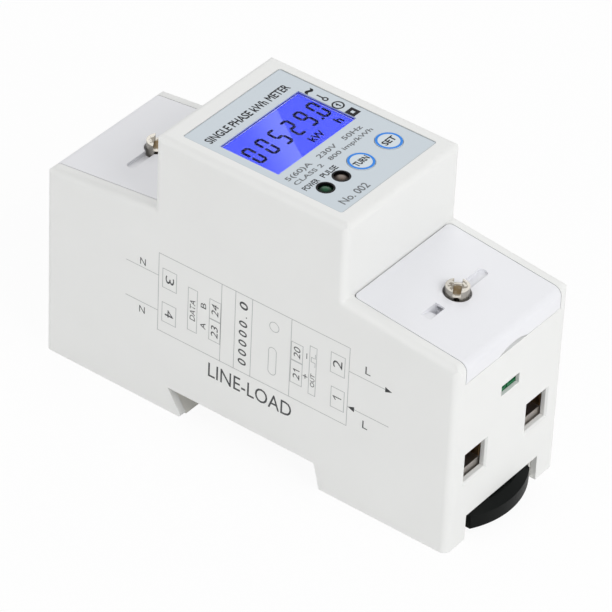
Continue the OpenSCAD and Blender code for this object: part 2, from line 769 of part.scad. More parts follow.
// A cored stand under a brass terminal, with a wall at its inner side.
module terminal_stand(y) {
    w = block_w / 2;
    difference() {
        union() {
            block([block_x0, y - w, 0], [block_x1, y + w, block_z0]);
            block([block_x0, y - sign(y) * w - 0.55, 0], [block_x1, y - sign(y) * w + 0.45, block_z0]);
            block([block_x0 + 1, y - sign(y) * (w + 0.35) - 0.25, 0],
                  [block_x1 - 1, y - sign(y) * (w + 0.35) + 0.25, block_z0 + 4]);
        }
        translate([(block_x0 + block_x1) / 2, y, base_t])
            linear_extrude(block_z0 - base_t - 1.2) square([block_l - 3, block_w + 3], center = true);
    }
}

module snap_hook() {
    along(snap_x - snap_l / 2, snap_x + snap_l / 2)
        polygon([[in_w - 1, snap_z], [in_w + snap_out, snap_z + snap_h - 0.3],
                 [in_w + snap_out, snap_z + snap_h], [in_w - 1, snap_z + snap_h]]);
}

// Outline of the clip seen from the front.
module clip_plan() {
    translate([clip_step_x, -clip_w / 2]) square([clip_arc_x - clip_step_x, clip_w]);
    intersection() {
        translate([clip_apex_x - clip_head_r, 0]) circle(clip_head_r, $fn = 180);
        translate([clip_arc_x - eps, -clip_w / 2]) square([clip_head_r, clip_w]);
    }
}

module din_clip() {
    color([0.1, 0.11, 0.11]) difference() {
        union() {
            translate([0, 0, clip_bottom]) linear_extrude(clip_t) clip_plan();
            // nose that catches the rail's edge
            across(clip_w - 2)
                polygon([[clip_nose_x, clip_nose_top], [clip_nose_x, clip_nose_top - 0.9],
                         [clip_nose_x + 2, clip_bottom], [clip_step_x + 1, clip_bottom],
                         [clip_step_x + 1, clip_nose_top]]);
            // flanges that run in the base's grooves
            block([flange_x0, -clip_w / 2 - flange_out + clip_side_gap, flange_z],
                  [flange_x1, clip_w / 2 + flange_out - clip_side_gap, flange_z + flange_t]);
        }
        // window of the spring
        block([spring_x0, -spring_window_w / 2, clip_bottom - 1],
              [spring_window_x1, spring_window_w / 2, clip_top + 1]);
        // slot for a screwdriver in the head
        translate([half_l - 1.2, 0, clip_bottom - 1]) linear_extrude(clip_t + 2) round_rect(1.6, 7, 0.7);
        // bevel round the head's top
        intersection() {
            translate([clip_apex_x - clip_head_r, 0, clip_top]) rotate_extrude($fn = 180)
                polygon([[clip_head_r, -clip_bevel], [clip_head_r - clip_bevel * 1.4, 0],
                         [clip_head_r, 1], [clip_head_r + 1, 0], [clip_head_r + 1, -clip_bevel]]);
            block([clip_arc_x - 3, -clip_w, clip_top - clip_bevel - 1], [clip_apex_x + 1, clip_w, 1]);
        }
    }
}

// Ring i of the spring's wire, and the whole coil as one swept solid.
function spring_ring(i) =
    let (
        a = 360 * i / spring_steps,
        r = (spring_d - spring_wire) / 2,
        x = spring_x0 + spring_wire / 2 + (spring_l - spring_wire) * i / (spring_turns * spring_steps)
    )
    [for (k = [0 : 5]) let (b = 60 * k, q = r + spring_wire / 2 * cos(b))
        [x + spring_wire / 2 * sin(b), q * cos(a), spring_z + q * sin(a)]];

module clip_spring() {
    rings = spring_turns * spring_steps;
    points = [for (i = [0 : rings]) each spring_ring(i)];
    sides = [for (i = [0 : rings - 1], k = [0 : 5])
        [6 * i + k, 6 * i + (k + 1) % 6, 6 * (i + 1) + (k + 1) % 6, 6 * (i + 1) + k]];
    color([0.75, 0.75, 0.77])
        polyhedron(points, concat([[5, 4, 3, 2, 1, 0]], sides, [[for (k = [0 : 5]) 6 * rings + k]]));
}

module face_film() {
    color([0.8, 0.84, 0.87]) translate([0, 0, film_bottom]) linear_extrude(film_t) difference() {
        translate([film_x, 0]) round_rect(film_l, film_w, 0.5);
        translate([lcd_off_x, lcd_off_y]) square([lcd_x, lcd_y], center = true);
        for (y = [turn_y, set_y]) translate([key_x, y]) circle(key_hole_r);
        for (y = [power_y, pulse_y]) translate([key_x, y]) circle(collar_hole);
    }
}

module window_pane() {
    color([0.85, 0.9, 0.95, 0.4]) translate([lcd_off_x, lcd_off_y, pane_bottom])
        linear_extrude(pane_t) square([lcd_x + 2 * pane_ledge, lcd_y + 2 * pane_ledge], center = true);
}

module lcd_glass() {
    color([0.32, 0.36, 1]) translate([lcd_off_x, lcd_off_y, lcd_bottom]) {
        linear_extrude(lcd_t) square([lcd_x + 2 * lcd_margin, lcd_y + 2 * lcd_margin], center = true);
        linear_extrude(pane_bottom - pane_gap - lcd_bottom)
            square([lcd_x - 2 * gap, lcd_y - 2 * gap], center = true);
    }
}

// The tray behind the glass that holds the backlight.
module lcd_frame() {
    l = lcd_x + 2 * lcd_margin;
    w = lcd_y + 2 * lcd_margin;
    color([0.95, 0.95, 0.95]) translate([lcd_off_x, lcd_off_y, display_top]) difference() {
        linear_extrude(lcd_bottom + lcd_t / 2 - display_top) square([l + 1.2, w + 1.2], center = true);
        translate([0, 0, lcd_bottom - display_top])
            linear_extrude(lcd_t) square([l + 0.1, w + 0.1], center = true);
    }
}

module display_board() {
    l = 2 * (half_h - hump_wall - 0.3);
    w = 2 * (in_w - 0.3);
    color([0.1, 0.4, 0.2]) translate([0, 0, display_bottom]) linear_extrude(pcb_t) difference() {
        round_rect(l, w, 1);
        for (x = [-display_post_x, display_post_x], y = [-display_post_y, display_post_y])
            translate([x, y]) circle(board_screw_r + 0.15);
    }
}

module display_screws() {
    color([0.75, 0.75, 0.75])
        for (x = [-display_post_x, display_post_x], y = [-display_post_y, display_post_y])
            translate([x, y, display_bottom]) rotate([180, 0, 0])
                slotted_screw(board_screw_r, display_screw_l, board_head_r, board_head_h, 0.6, 0.6);
}

// A round lamp that stands on the display board and shows in the front.
module lamp(y) {
    lamp_h = film_top - 0.1 - display_top;
    translate([key_x, y, display_top]) {
        cylinder(h = lamp_h - 1, r = lamp_r);
        cylinder(h = 1, r = lamp_flange_r);
        intersection() {
            translate([0, 0, lamp_h - lamp_dome_r]) sphere(r = lamp_dome_r);
            translate([0, 0, lamp_h - 1.2]) cylinder(h = 2, r = lamp_r);
        }
    }
}

module power_led() {
    color([0.1, 0.3, 0.15]) lamp(power_y);
}

module pulse_led() {
    color([0.4, 0.36, 0.33]) lamp(pulse_y);
}

module led_collars() {
    color([0.05, 0.05, 0.05]) for (y = [power_y, pulse_y])
        translate([key_x, y, film_top - collar_len]) difference() {
            cylinder(h = collar_len, r = collar_r);
            translate([0, 0, -1]) cylinder(h = collar_len + 2, r = lamp_r + 0.03);
        }
}

// A round key: cap, flange under the front plate and stem down to its switch.
module key(y) {
    translate([key_x, y, 0]) {
        translate([0, 0, front_under - gap - key_flange_t])
            cylinder(h = film_top + 0.1 - front_under + gap + key_flange_t, r = key_r);
        translate([0, 0, front_under - gap - key_flange_t]) cylinder(h = key_flange_t, r = key_flange_r);
        translate([0, 0, plunger_top]) cylinder(h = front_under - plunger_top, r = key_stem_r);
    }
}

module set_key() {
    color([0.82, 0.87, 0.92]) key(set_y);
}

module turn_key() {
    color([0.82, 0.87, 0.92]) key(turn_y);
}

module key_switches() {
    color([0.15, 0.15, 0.16]) for (y = [turn_y, set_y]) translate([key_x, y, display_top]) difference() {
        linear_extrude(switch_top - display_top) round_rect(switch_size, switch_size, 0.6);
        translate([0, 0, plunger_top - plunger_h - key_travel - 0.2 - display_top])
            cylinder(h = 5, r = plunger_r + 0.05);
    }
}

module plunger(y) {
    color([0.75, 0.7, 0.6]) translate([key_x, y, plunger_top - plunger_h])
        cylinder(h = plunger_h, r = plunger_r);
}

module set_plunger() {
    plunger(set_y);
}

module turn_plunger() {
    plunger(turn_y);
}

module main_board() {
    color([0.1, 0.4, 0.2]) translate([0, 0, main_bottom]) linear_extrude(pcb_t) difference() {
        union() {
            round_rect(2 * board_x, 2 * (in_w - 0.5), 1);
            square([2 * (in_l - 0.5), tongue_w], center = true);
        }
        for (x = [-board_post_x, board_post_x], y = [-board_post_y, board_post_y])
            translate([x, y]) circle(board_screw_r + 0.15);
        for (x = [-1, 1], y = [-tab_y, tab_y])
            translate([x * (block_x0 - shunt_t / 2), y]) square([shunt_t + 0.2, tab_w + 0.2], center = true);
    }
}

module board_screws() {
    color([0.75, 0.75, 0.75])
        for (x = [-board_post_x, board_post_x], y = [-board_post_y, board_post_y])
            translate([x, y, main_z])
                slotted_screw(board_screw_r, board_screw_l, board_head_r, board_head_h, 0.6, 0.6);
}

// A brass terminal on the +X side: a block with a square wire hole and a screw hole from above.
module terminal(y) {
    color([0.72, 0.58, 0.3]) difference() {
        block([block_x0, y - block_w / 2, block_z0], [block_x1, y + block_w / 2, block_z0 + block_h]);
        block([block_x0 - 1, y - block_hole_w / 2, block_hole_z0],
              [block_x1 + 1, y + block_hole_w / 2, block_hole_z0 + block_hole_h]);
        translate([clamp_x, y, block_hole_z0 + block_hole_h - 1]) cylinder(h = 10, r = clamp_r);
    }
}

module line_in_terminal() {
    terminal(-mains_y);
}

module line_out_terminal() {
    terminal(mains_y);
}

module neutral_in_terminal() {
    rotate([0, 0, 180]) terminal(mains_y);
}

module neutral_out_terminal() {
    rotate([0, 0, 180]) terminal(-mains_y);
}

module terminal_screws() {
    top = block_z0 + block_h;
    tip = block_hole_z0 + block_hole_h + clamp_tip_gap;
    color([0.75, 0.75, 0.76]) both_ends() for (y = [-mains_y, mains_y])
        translate([clamp_x, y, top + 0.4])
            slotted_screw(clamp_r - screw_fit, top + 0.4 - tip, clamp_head_r, clamp_head_h, 1, 1.4);
}

// Copper arms of the current shunt, brazed to the back of the line terminals.
module shunt_arms() {
    color([0.75, 0.45, 0.3]) for (m = [0, 1]) mirror([0, m, 0]) {
        block([block_x0 - shunt_t, shunt_element_w / 2, shunt_z0],
              [block_x0, mains_y + block_w / 2 - 0.5, shunt_z0 + shunt_h]);
        // sense tab that is soldered in the main board
        block([block_x0 - shunt_t, tab_y - tab_w / 2, shunt_z0], [block_x0, tab_y + tab_w / 2, tab_top]);
    }
}

module shunt_element() {
    color([0.55, 0.45, 0.38])
        block([block_x0 - shunt_t, -shunt_element_w / 2, shunt_z0 + 0.4],
              [block_x0, shunt_element_w / 2, shunt_z0 + shunt_h - 0.4]);
}

module neutral_link() {
    color([0.75, 0.45, 0.3]) rotate([0, 0, 180]) {
        block([block_x0 - shunt_t, -mains_y - block_w / 2 + 0.5, shunt_z0],
              [block_x0, mains_y + block_w / 2 - 0.5, shunt_z0 + shunt_h]);
        block([block_x0 - shunt_t, -tab_y - tab_w / 2, shunt_z0], [block_x0, -tab_y + tab_w / 2, tab_top]);
    }
}

// A green two-pole screw terminal on the +X side.
module signal_terminal() {
    color([0.15, 0.5, 0.25]) difference() {
        block([signal_x0, -signal_block_w / 2, main_z],
              [signal_x1, signal_block_w / 2, main_z + signal_h_body]);
        for (y = [-1, 1]) {
            along(signal_x0 + 2, signal_x1 + 1)
                translate([y * signal_pitch / 2, signal_z])
                    square([signal_hole_w, signal_hole_h], center = true);
            translate([signal_screw_x, y * signal_pitch / 2, signal_z + 2])
                cylinder(h = 10, r = signal_screw_r + 0.1);
        }
        // groove between the poles
        block([signal_x1 - 0.6, -0.25, main_z - 1], [signal_x1 + 1, 0.25, main_z + signal_h_body + 1]);
    }
}

module pulse_terminal() {
    signal_terminal();
}

module data_terminal() {
    rotate([0, 0, 180]) signal_terminal();
}

module signal_screws() {
    color([0.75, 0.75, 0.76]) both_ends() for (y = [-1, 1])
        translate([signal_screw_x, y * signal_pitch / 2, signal_z + 2]) difference() {
            cylinder(h = signal_screw_h, r = signal_screw_r + 0.1 - screw_fit);
            translate([-3, -0.25, signal_screw_h - 0.7]) cube([6, 0.5, 2]);
        }
}

module film_capacitor() {
    color([0.85, 0.7, 0.15]) translate([film_cap_x, film_cap_y, main_z])
        linear_extrude(film_cap_h) round_rect(film_cap_l, film_cap_w, 0.6);
}

// A can with the groove of its rolled seal near the board.
module bulk_capacitor() {
    color([0.15, 0.18, 0.35]) translate([bulk_x, bulk_y, main_z]) rotate_extrude()
        polygon([[0, 0], [bulk_r, 0], [bulk_r, 1], [bulk_r - 0.5, 1.5], [bulk_r, 2],
                 [bulk_r, bulk_h - 0.4], [bulk_r - 0.4, bulk_h], [0, bulk_h]]);
}

module varistor() {
    lift = varistor_r + 0.8;
    color([0.2, 0.35, 0.6]) translate([varistor_x, varistor_y, main_z + lift]) {
        rotate([0, 90, 0]) cylinder(h = varistor_t, r = varistor_r, center = true);
        for (y = [-2.5, 2.5]) translate([0, y, -lift]) cylinder(h = 3, r = 0.4, $fn = 16);
    }
}

module fuse_resistor() {
    lift = resistor_r + 0.6;
    color([0.6, 0.65, 0.5]) translate([resistor_x, varistor_y, main_z + lift]) {
        rotate([90, 0, 0]) cylinder(h = resistor_l, r = resistor_r, center = true);
        for (y = [-1, 1]) translate([0, y * (resistor_l / 2 + 1), -lift])
            cylinder(h = lift + 0.35, r = 0.35, $fn = 16);
        rotate([90, 0, 0]) cylinder(h = resistor_l + 2.7, r = 0.35, center = true, $fn = 16);
    }
}

// A chip with legs along two sides.
module chip(l, w, h, pitch) {
    legs = floor(l / pitch);
    translate([0, 0, 0.2]) linear_extrude(h) square([l, w], center = true);
    for (i = [0 : legs - 1], s = [-1, 1])
        translate([(i - (legs - 1) / 2) * pitch, s * (w / 2 + leg_out / 2), 0.3])
            cube([0.3, leg_out + 0.1, 0.6], center = true);
}

module metering_chip() {
    color([0.08, 0.08, 0.09]) translate([meter_chip_x, meter_chip_y, main_z]) rotate([0, 0, 90])
        chip(meter_chip_l, meter_chip_w, meter_chip_h, meter_leg_pitch);
}

module control_chip() {
    color([0.08, 0.08, 0.09]) translate([control_chip_x, control_chip_y, main_z]) {
        chip(control_chip_s, control_chip_s, control_chip_h, control_leg_pitch);
        rotate([0, 0, 90]) chip(control_chip_s, control_chip_s, control_chip_h, control_leg_pitch);
    }
}

module optocouplers() {
    color([0.9, 0.9, 0.88]) {
        for (y = [-opto_y, opto_y])
            translate([-opto_x, y, main_z]) chip(opto_l, opto_w, opto_h, opto_leg_pitch);
        translate([-opto_x + opto_l + 0.5, 0, main_z]) chip(opto_l, opto_w, opto_h, opto_leg_pitch);
    }
}

module crystal() {
    color([0.8, 0.8, 0.82]) translate([crystal_x, crystal_y, main_z])
        linear_extrude(crystal_h) round_rect(crystal_w, crystal_l, crystal_w / 2 - 0.1);
}

module ribbon_sockets() {
    color([0.92, 0.9, 0.82]) for (z = [main_z, display_bottom - socket_h])
        translate([ribbon_x, 0, z]) difference() {
            linear_extrude(socket_h) square([socket_l, socket_w], center = true);
            translate([0, 0, -1])
                linear_extrude(socket_h + 2) square([ribbon_t + 0.2, ribbon_w + 0.2], center = true);
        }
}

module ribbon_lead() {
    color([0.6, 0.62, 0.65])
        block([ribbon_x - ribbon_t / 2, -ribbon_w / 2, main_z],
              [ribbon_x + ribbon_t / 2, ribbon_w / 2, display_bottom]);
}

outer_case();
base();
line_cover();
neutral_cover();
seal_screws();
din_clip();
clip_spring();
face_film();
window_pane();
lcd_glass();
lcd_frame();
display_board();
display_screws();
power_led();
pulse_led();
led_collars();
set_key();
turn_key();
key_switches();
set_plunger();
turn_plunger();
main_board();
board_screws();
line_in_terminal();
line_out_terminal();
neutral_in_terminal();
neutral_out_terminal();
terminal_screws();
shunt_arms();
shunt_element();
neutral_link();
pulse_terminal();
data_terminal();
signal_screws();
film_capacitor();
bulk_capacitor();
varistor();
fuse_resistor();
metering_chip();
control_chip();
optocouplers();
crystal();
ribbon_sockets();
ribbon_lead();
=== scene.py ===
# %% [markdown]
# # A rail-mounted energy meter
# This notebook dresses a two-module electricity meter that hooks onto a 35 mm rail. Its solids come from a
# CAD model, and every one of them stays where it is. What is made here is what a drawing can't hold: the
# finish of each surface, the print on the side and on the front, and the digits of the display.

# %% Load the frame
import math
import bpy
from mathutils import Matrix, Vector


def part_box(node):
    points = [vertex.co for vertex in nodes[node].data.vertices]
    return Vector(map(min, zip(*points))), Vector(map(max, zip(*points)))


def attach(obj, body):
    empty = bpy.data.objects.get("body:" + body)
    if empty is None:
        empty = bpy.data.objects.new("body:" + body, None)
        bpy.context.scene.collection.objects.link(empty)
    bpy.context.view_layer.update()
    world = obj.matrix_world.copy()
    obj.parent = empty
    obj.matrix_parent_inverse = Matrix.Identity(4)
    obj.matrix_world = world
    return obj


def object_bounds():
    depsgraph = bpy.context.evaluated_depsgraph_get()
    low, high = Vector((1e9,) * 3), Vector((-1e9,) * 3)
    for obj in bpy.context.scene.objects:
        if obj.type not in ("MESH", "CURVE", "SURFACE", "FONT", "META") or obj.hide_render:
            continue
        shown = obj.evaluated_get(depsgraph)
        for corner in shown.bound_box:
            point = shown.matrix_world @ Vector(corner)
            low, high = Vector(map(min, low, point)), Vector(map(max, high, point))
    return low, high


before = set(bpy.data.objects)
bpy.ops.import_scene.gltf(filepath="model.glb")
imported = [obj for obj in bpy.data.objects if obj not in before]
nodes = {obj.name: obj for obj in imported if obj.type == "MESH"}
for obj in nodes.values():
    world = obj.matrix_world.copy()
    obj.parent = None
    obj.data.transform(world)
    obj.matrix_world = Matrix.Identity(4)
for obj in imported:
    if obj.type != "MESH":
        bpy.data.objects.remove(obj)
cad_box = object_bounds()
print("solids loaded:", len(nodes))

# %% [markdown]
# Everything is placed from the boxes of the solids, so that a change of the model carries the print with it.
# The model is in metres. Print is easier to think of in millimetres, so one factor turns the one into the other.

# %% Places taken from the solids
MM = 0.001


def box_mm(node):
    """The lowest and the highest corner of a solid, in millimetres."""
    low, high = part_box(node)
    return low / MM, high / MM


case_low, case_high = box_mm("outer_case")
film_low, film_high = box_mm("face_film")
glass_low, glass_high = box_mm("lcd_glass")
pane_low, pane_high = box_mm("window_pane")
print("case", [round(v, 2) for v in case_high - case_low], "film top", round(film_high.z, 2))

# %% [markdown]
# ## The camera
# A camera in a product photograph stands far away behind a long lens, which keeps upright edges nearly
# parallel. It looks down at 37 degrees and stands 36 degrees round from the printed side. Its place and its
# lens are written as the angles and the distance that a photographer would read off a tripod.

# %% Camera
CAMERA_PLACE = Vector((414.59, -572.02, 558.94)) * MM
CAMERA_TURN = math.radians(35.85)
CAMERA_HEIGHT = math.radians(37.387)
CAMERA_ROLL = math.radians(2.785)
LENS_MM = 267.09
SENSOR_MM = 36

back = Vector((math.sin(CAMERA_TURN) * math.cos(CAMERA_HEIGHT),
               -math.cos(CAMERA_TURN) * math.cos(CAMERA_HEIGHT),
               math.sin(CAMERA_HEIGHT)))
level = Vector((0, 0, 1)).cross(back).normalized()
upward = back.cross(level)
right = level * math.cos(CAMERA_ROLL) + upward * math.sin(CAMERA_ROLL)
top = upward * math.cos(CAMERA_ROLL) - level * math.sin(CAMERA_ROLL)

camera_data = bpy.data.cameras.new("camera")
camera_data.lens = LENS_MM
camera_data.sensor_width = SENSOR_MM
camera_data.clip_start = 0.01
camera = bpy.data.objects.new("camera", camera_data)
bpy.context.scene.collection.objects.link(camera)
camera.matrix_world = Matrix.Translation(CAMERA_PLACE) @ Matrix((right, top, back)).transposed().to_4x4()
bpy.context.scene.camera = camera
print("camera", [round(v, 3) for v in camera.matrix_world.translation])

# %% [markdown]
# ## Shader maths written as Python
# A material is a graph of nodes, and a long formula turns into a long chain of Math nodes. The small class
# below wraps the output of a node. Adding or multiplying two of them adds the Math node and returns its
# output, so that a mask reads like the formula that it is.

# %% A value that flows through a material
class Flow:
    """The output of a node, with which Python's operators build Math nodes."""

    def __init__(self, paint, socket):
        self.paint = paint
        self.socket = socket

    def maths(self, operation, first, second=None):
        inputs = {0: first} if second is None else {0: first, 1: second}
        return self.paint.node("ShaderNodeMath", {"operation": operation}, inputs)

    def __add__(self, other):
        return self.maths("ADD", self, other)

    __radd__ = __add__

    def __sub__(self, other):
        return self.maths("SUBTRACT", self, other)

    def __rsub__(self, other):
        return self.maths("SUBTRACT", other, self)

    def __mul__(self, other):
        return self.maths("MULTIPLY", self, other)

    __rmul__ = __mul__

    def __truediv__(self, other):
        return self.maths("DIVIDE", self, other)

    def __pow__(self, other):
        return self.maths("POWER", self, other)

    def __gt__(self, other):
        return self.maths("GREATER_THAN", self, other)

    def __lt__(self, other):
        return self.maths("LESS_THAN", self, other)

    def __abs__(self):
        return self.maths("ABSOLUTE", self)

    def root(self):
        return self.maths("SQRT", self)

    def wave(self):
        return self.maths("SINE", self)


# %% [markdown]
# `Paint` is a material with a Principled shader. Its method `node` makes any other node: it takes the node's
# type, its settings, and what goes into its sockets. The rest of its methods are the few patterns that a
# meter needs: noise of a real size, a soft step between two values, a mix of two colours, and a bump.

# %% A material and its patterns
class Paint:
    """A material made of a Principled shader and the nodes that feed it."""

    def __init__(self, name, colour, roughness, **fixed):
        self.material = bpy.data.materials.new(name)
        self.material.use_nodes = True
        self.tree = self.material.node_tree
        self.tree.nodes.clear()
        self.output = self.tree.nodes.new("ShaderNodeOutputMaterial")
        self.shader = self.tree.nodes.new("ShaderNodeBsdfPrincipled")
        self.tree.links.new(self.shader.outputs[0], self.output.inputs["Surface"])
        self.feed("Base Color", colour)
        self.feed("Roughness", roughness)
        for socket, value in fixed.items():
            self.feed(socket.replace("_", " "), value)

    def put(self, socket, value):
        if isinstance(value, Flow):
            self.tree.links.new(value.socket, socket)
        elif isinstance(value, (tuple, list)) and socket.type == "RGBA":
            socket.default_value = (*value[:3], 1)
        else:
            socket.default_value = value

    def feed(self, socket, value):
        self.put(self.shader.inputs[socket], value)

    def node(self, kind, settings=None, inputs=None, output=0):
        made = self.tree.nodes.new(kind)
        for name, value in (settings or {}).items():
            setattr(made, name, value)
        for socket, value in (inputs or {}).items():
            self.put(made.inputs[socket], value)
        return Flow(self, made.outputs[output])

    def place(self):
        """The point of the surface, in metres."""
        return self.node("ShaderNodeTexCoord", output="Object")

    def axes(self):
        """The three coordinates of the point, in millimetres."""
        scaled = self.node("ShaderNodeVectorMath", {"operation": "SCALE"}, {0: self.place(), "Scale": 1 / MM})
        return [self.node("ShaderNodeSeparateXYZ", inputs={0: scaled}, output=name) for name in "XYZ"]

    def noise(self, size_mm, detail=2, stretch=(1, 1, 1)):
        """Noise whose blotches are about size_mm across, from 0 to 1."""
        mapped = self.node("ShaderNodeMapping", inputs={"Vector": self.place(), "Scale": stretch})
        return self.node("ShaderNodeTexNoise", inputs={
            "Vector": mapped, "Scale": 1 / (size_mm * MM), "Detail": detail})

    def step(self, value, start, end, low=0, high=1):
        """Runs smoothly from low to high while the value runs from start to end."""
        return self.node("ShaderNodeMapRange", {"interpolation_type": "SMOOTHSTEP"}, {
            "Value": value, "From Min": start, "From Max": end, "To Min": low, "To Max": high})

    def blend(self, factor, first, second):
        """A mix of two colours."""
        return self.node("ShaderNodeMix", {"data_type": "RGBA"}, {0: factor, 6: first, 7: second}, output=2)

    def relief(self, height, depth_mm, edge_mm=0):
        """Bumps the surface by a height from 0 to 1, and rounds its sharp edges if a radius is given."""
        inputs = {"Height": height, "Distance": depth_mm * MM, "Strength": 1}
        if edge_mm:
            inputs["Normal"] = self.node("ShaderNodeBevel", {"samples": 6}, {"Radius": edge_mm * MM})
        self.feed("Normal", self.node("ShaderNodeBump", inputs=inputs))


# %% [markdown]
# ## Moulded plastic
# The case, the covers and the base come out of spark-eroded moulds, which leave a grain of about a tenth of a
# millimetre. From a step away the grain is too fine to see, and what remains is a soft, slightly uneven gloss.
# A moulded edge is never sharp either, and the Bevel node gives it the thin bright line that the eye expects.

# %% Plastics
def moulded(name, colour, roughness, grain_mm=0.14, depth_mm=0.0012, edge_mm=0.12, **fixed):
    """A moulded plastic with a fine grain, an uneven gloss and rounded edges."""
    paint = Paint(name, colour, roughness, **fixed)
    cloud = paint.noise(14, detail=1)
    grain = paint.noise(grain_mm)
    darker = tuple(0.965 * part for part in colour)
    paint.feed("Base Color", paint.blend(cloud, darker, colour))
    paint.feed("Roughness", paint.step(grain * 0.7 + cloud * 0.3, 0.3, 0.7, roughness - 0.05, roughness + 0.06))
    paint.relief(grain, depth_mm, edge_mm)
    return paint


case_plastic = moulded("case plastic", (0.827, 0.832, 0.820), 0.44)
cover_plastic = moulded("cover plastic", (0.825, 0.83, 0.86), 0.38)
base_plastic = moulded("base plastic", (0.80, 0.79, 0.75), 0.48)
clip_plastic = moulded("clip plastic", (0.004, 0.005, 0.0045), 0.42, grain_mm=0.3, depth_mm=0.002,
                       edge_mm=0.2, Specular_IOR_Level=0.07)
tray_plastic = moulded("tray plastic", (0.85, 0.86, 0.87), 0.35)
signal_plastic = moulded("terminal plastic", (0.015, 0.20, 0.075), 0.4)
switch_plastic = moulded("switch plastic", (0.03, 0.03, 0.035), 0.42)
plunger_plastic = moulded("plunger plastic", (0.50, 0.42, 0.30), 0.45)
socket_plastic = moulded("socket plastic", (0.84, 0.80, 0.68), 0.42)
opto_plastic = moulded("coupler plastic", (0.80, 0.80, 0.77), 0.5)
print("plastics:", len([m for m in bpy.data.materials if "plastic" in m.name]))

# %% [markdown]
# ## Metals
# Plated screws are turned on a lathe and stay slightly ringed, and their colour turns a darker brown towards the
# bottom of the slot. Both sealing screws are one solid, so the pattern folds the two halves
# of the meter onto each other with the absolute value of x.

# %% Plated sealing screws
screw_low, screw_high = box_mm("seal_screws")
cover_hole_x = (screw_high.x - 2.4)


def sealing_nickel():
    """Nickel plating with lathe rings on the head, dull stains inside its rim and a darker brown towards the bottom
    of the slot.
    """
    paint = Paint("sealing nickel", (0.42, 0.40, 0.36), 0.22, Metallic=1.0)
    x, y, z = paint.axes()
    reach = ((abs(x) - cover_hole_x) ** 2 + y ** 2).root()
    rings = (reach * 24).wave() * 0.5 + 0.5
    stain = paint.noise(0.7)
    depth = paint.step(z, screw_high.z - 1.15, screw_high.z - 0.35, 1, 0)
    inside = paint.step(reach, 1.15, 1.75, 1, 0)
    # darker brown towards the bottom of the slot, near the screw's axis
    slot_bottom = depth * inside * paint.step(stain, 0.3, 0.55, 0.6, 1)
    dull = paint.step(stain + (reach - 1.2) * 0.12, 0.50, 0.60, 1, 0) * paint.step(reach, 1.8, 2.05, 1, 0)
    plated = paint.blend(dull * 0.8, (0.42, 0.40, 0.36), (0.10, 0.085, 0.065))
    paint.feed("Base Color", paint.blend(slot_bottom, plated, (0.17, 0.12, 0.06)))
    paint.feed("Roughness", 0.27 + slot_bottom * 0.2 + stain * 0.1)
    paint.relief(rings * 0.6 + stain * 0.4, 0.012, 0.1)
    return paint


sealing_metal = sealing_nickel()
print("sealing screws stand at x =", round(cover_hole_x, 2))

# %% [markdown]
# The metals inside share one recipe. A drawn or stamped metal has fine scratches along one direction, which
# are noise stretched to twenty times its width, and a faint tarnish in large blotches.

# %% Drawn and stamped metals
def stamped(name, colour, tarnish, roughness, along=(1, 1, 20)):
    """A bare metal with scratches across one direction and blotches of tarnish."""
    paint = Paint(name, colour, roughness, Metallic=1.0)
    scratches = paint.noise(1.2, detail=3, stretch=along)
    blotches = paint.noise(3.5, detail=3)
    paint.feed("Base Color", paint.blend(paint.step(blotches, 0.4, 0.75), colour, tarnish))
    paint.feed("Roughness", roughness + scratches * 0.12 + blotches * 0.08)
    paint.relief(scratches, 0.006, 0.12)
    return paint


zinc = stamped("zinc plated steel", (0.62, 0.62, 0.63), (0.50, 0.50, 0.48), 0.24)
spring_steel = stamped("spring steel", (0.52, 0.52, 0.54), (0.40, 0.38, 0.36), 0.26, along=(20, 1, 1))
copper = stamped("copper strip", (0.72, 0.36, 0.22), (0.42, 0.20, 0.12), 0.28, along=(1, 1, 12))
resistance_alloy = stamped("resistance alloy", (0.42, 0.36, 0.31), (0.30, 0.25, 0.21), 0.32)
crystal_can = stamped("crystal can", (0.66, 0.66, 0.68), (0.58, 0.57, 0.55), 0.22, along=(1, 12, 1))
print("metals share", len(zinc.tree.nodes), "nodes each")

# %% [markdown]
# The clamping blocks behind the end windows are brass that has gone brown in handling. Their floor carries the
# tinned plate that the wire is pressed on, which is the pale band at the bottom of each window.

# %% Brass terminals
terminal_low, terminal_high = box_mm("line_in_terminal")
wire_floor = terminal_low.z + 2


def terminal_brass():
    """Brown brass whose wire floor is tinned."""
    paint = Paint("terminal brass", (0.45, 0.31, 0.16), 0.35, Metallic=1.0)
    x, y, z = paint.axes()
    blotches = paint.noise(2.2, detail=3)
    scratches = paint.noise(0.8, detail=3, stretch=(1, 14, 1))
    bare = paint.blend(paint.step(blotches, 0.35, 0.7), (0.40, 0.27, 0.14), (0.17, 0.10, 0.05))
    tin = paint.step(z, wire_floor + 0.05, wire_floor + 0.2, 0.75, 0)
    paint.feed("Base Color", paint.blend(tin, bare, (0.50, 0.49, 0.48)))
    paint.feed("Roughness", 0.26 + scratches * 0.16)
    paint.relief(scratches, 0.01, 0.1)
    return paint


terminal_metal = terminal_brass()
print("wire floor at z =", round(wire_floor, 2))

# %% [markdown]
# ## The film, the window and the display
# The front film is polyester, printed on its back with a silvery ground, so it has a smooth gloss over a pale
# grey that is slightly blue. Its cut edge shows as a thin dark line against the case.

# %% Face film
film_middle = (film_low + film_high) / 2
film_half = (film_high - film_low) / 2


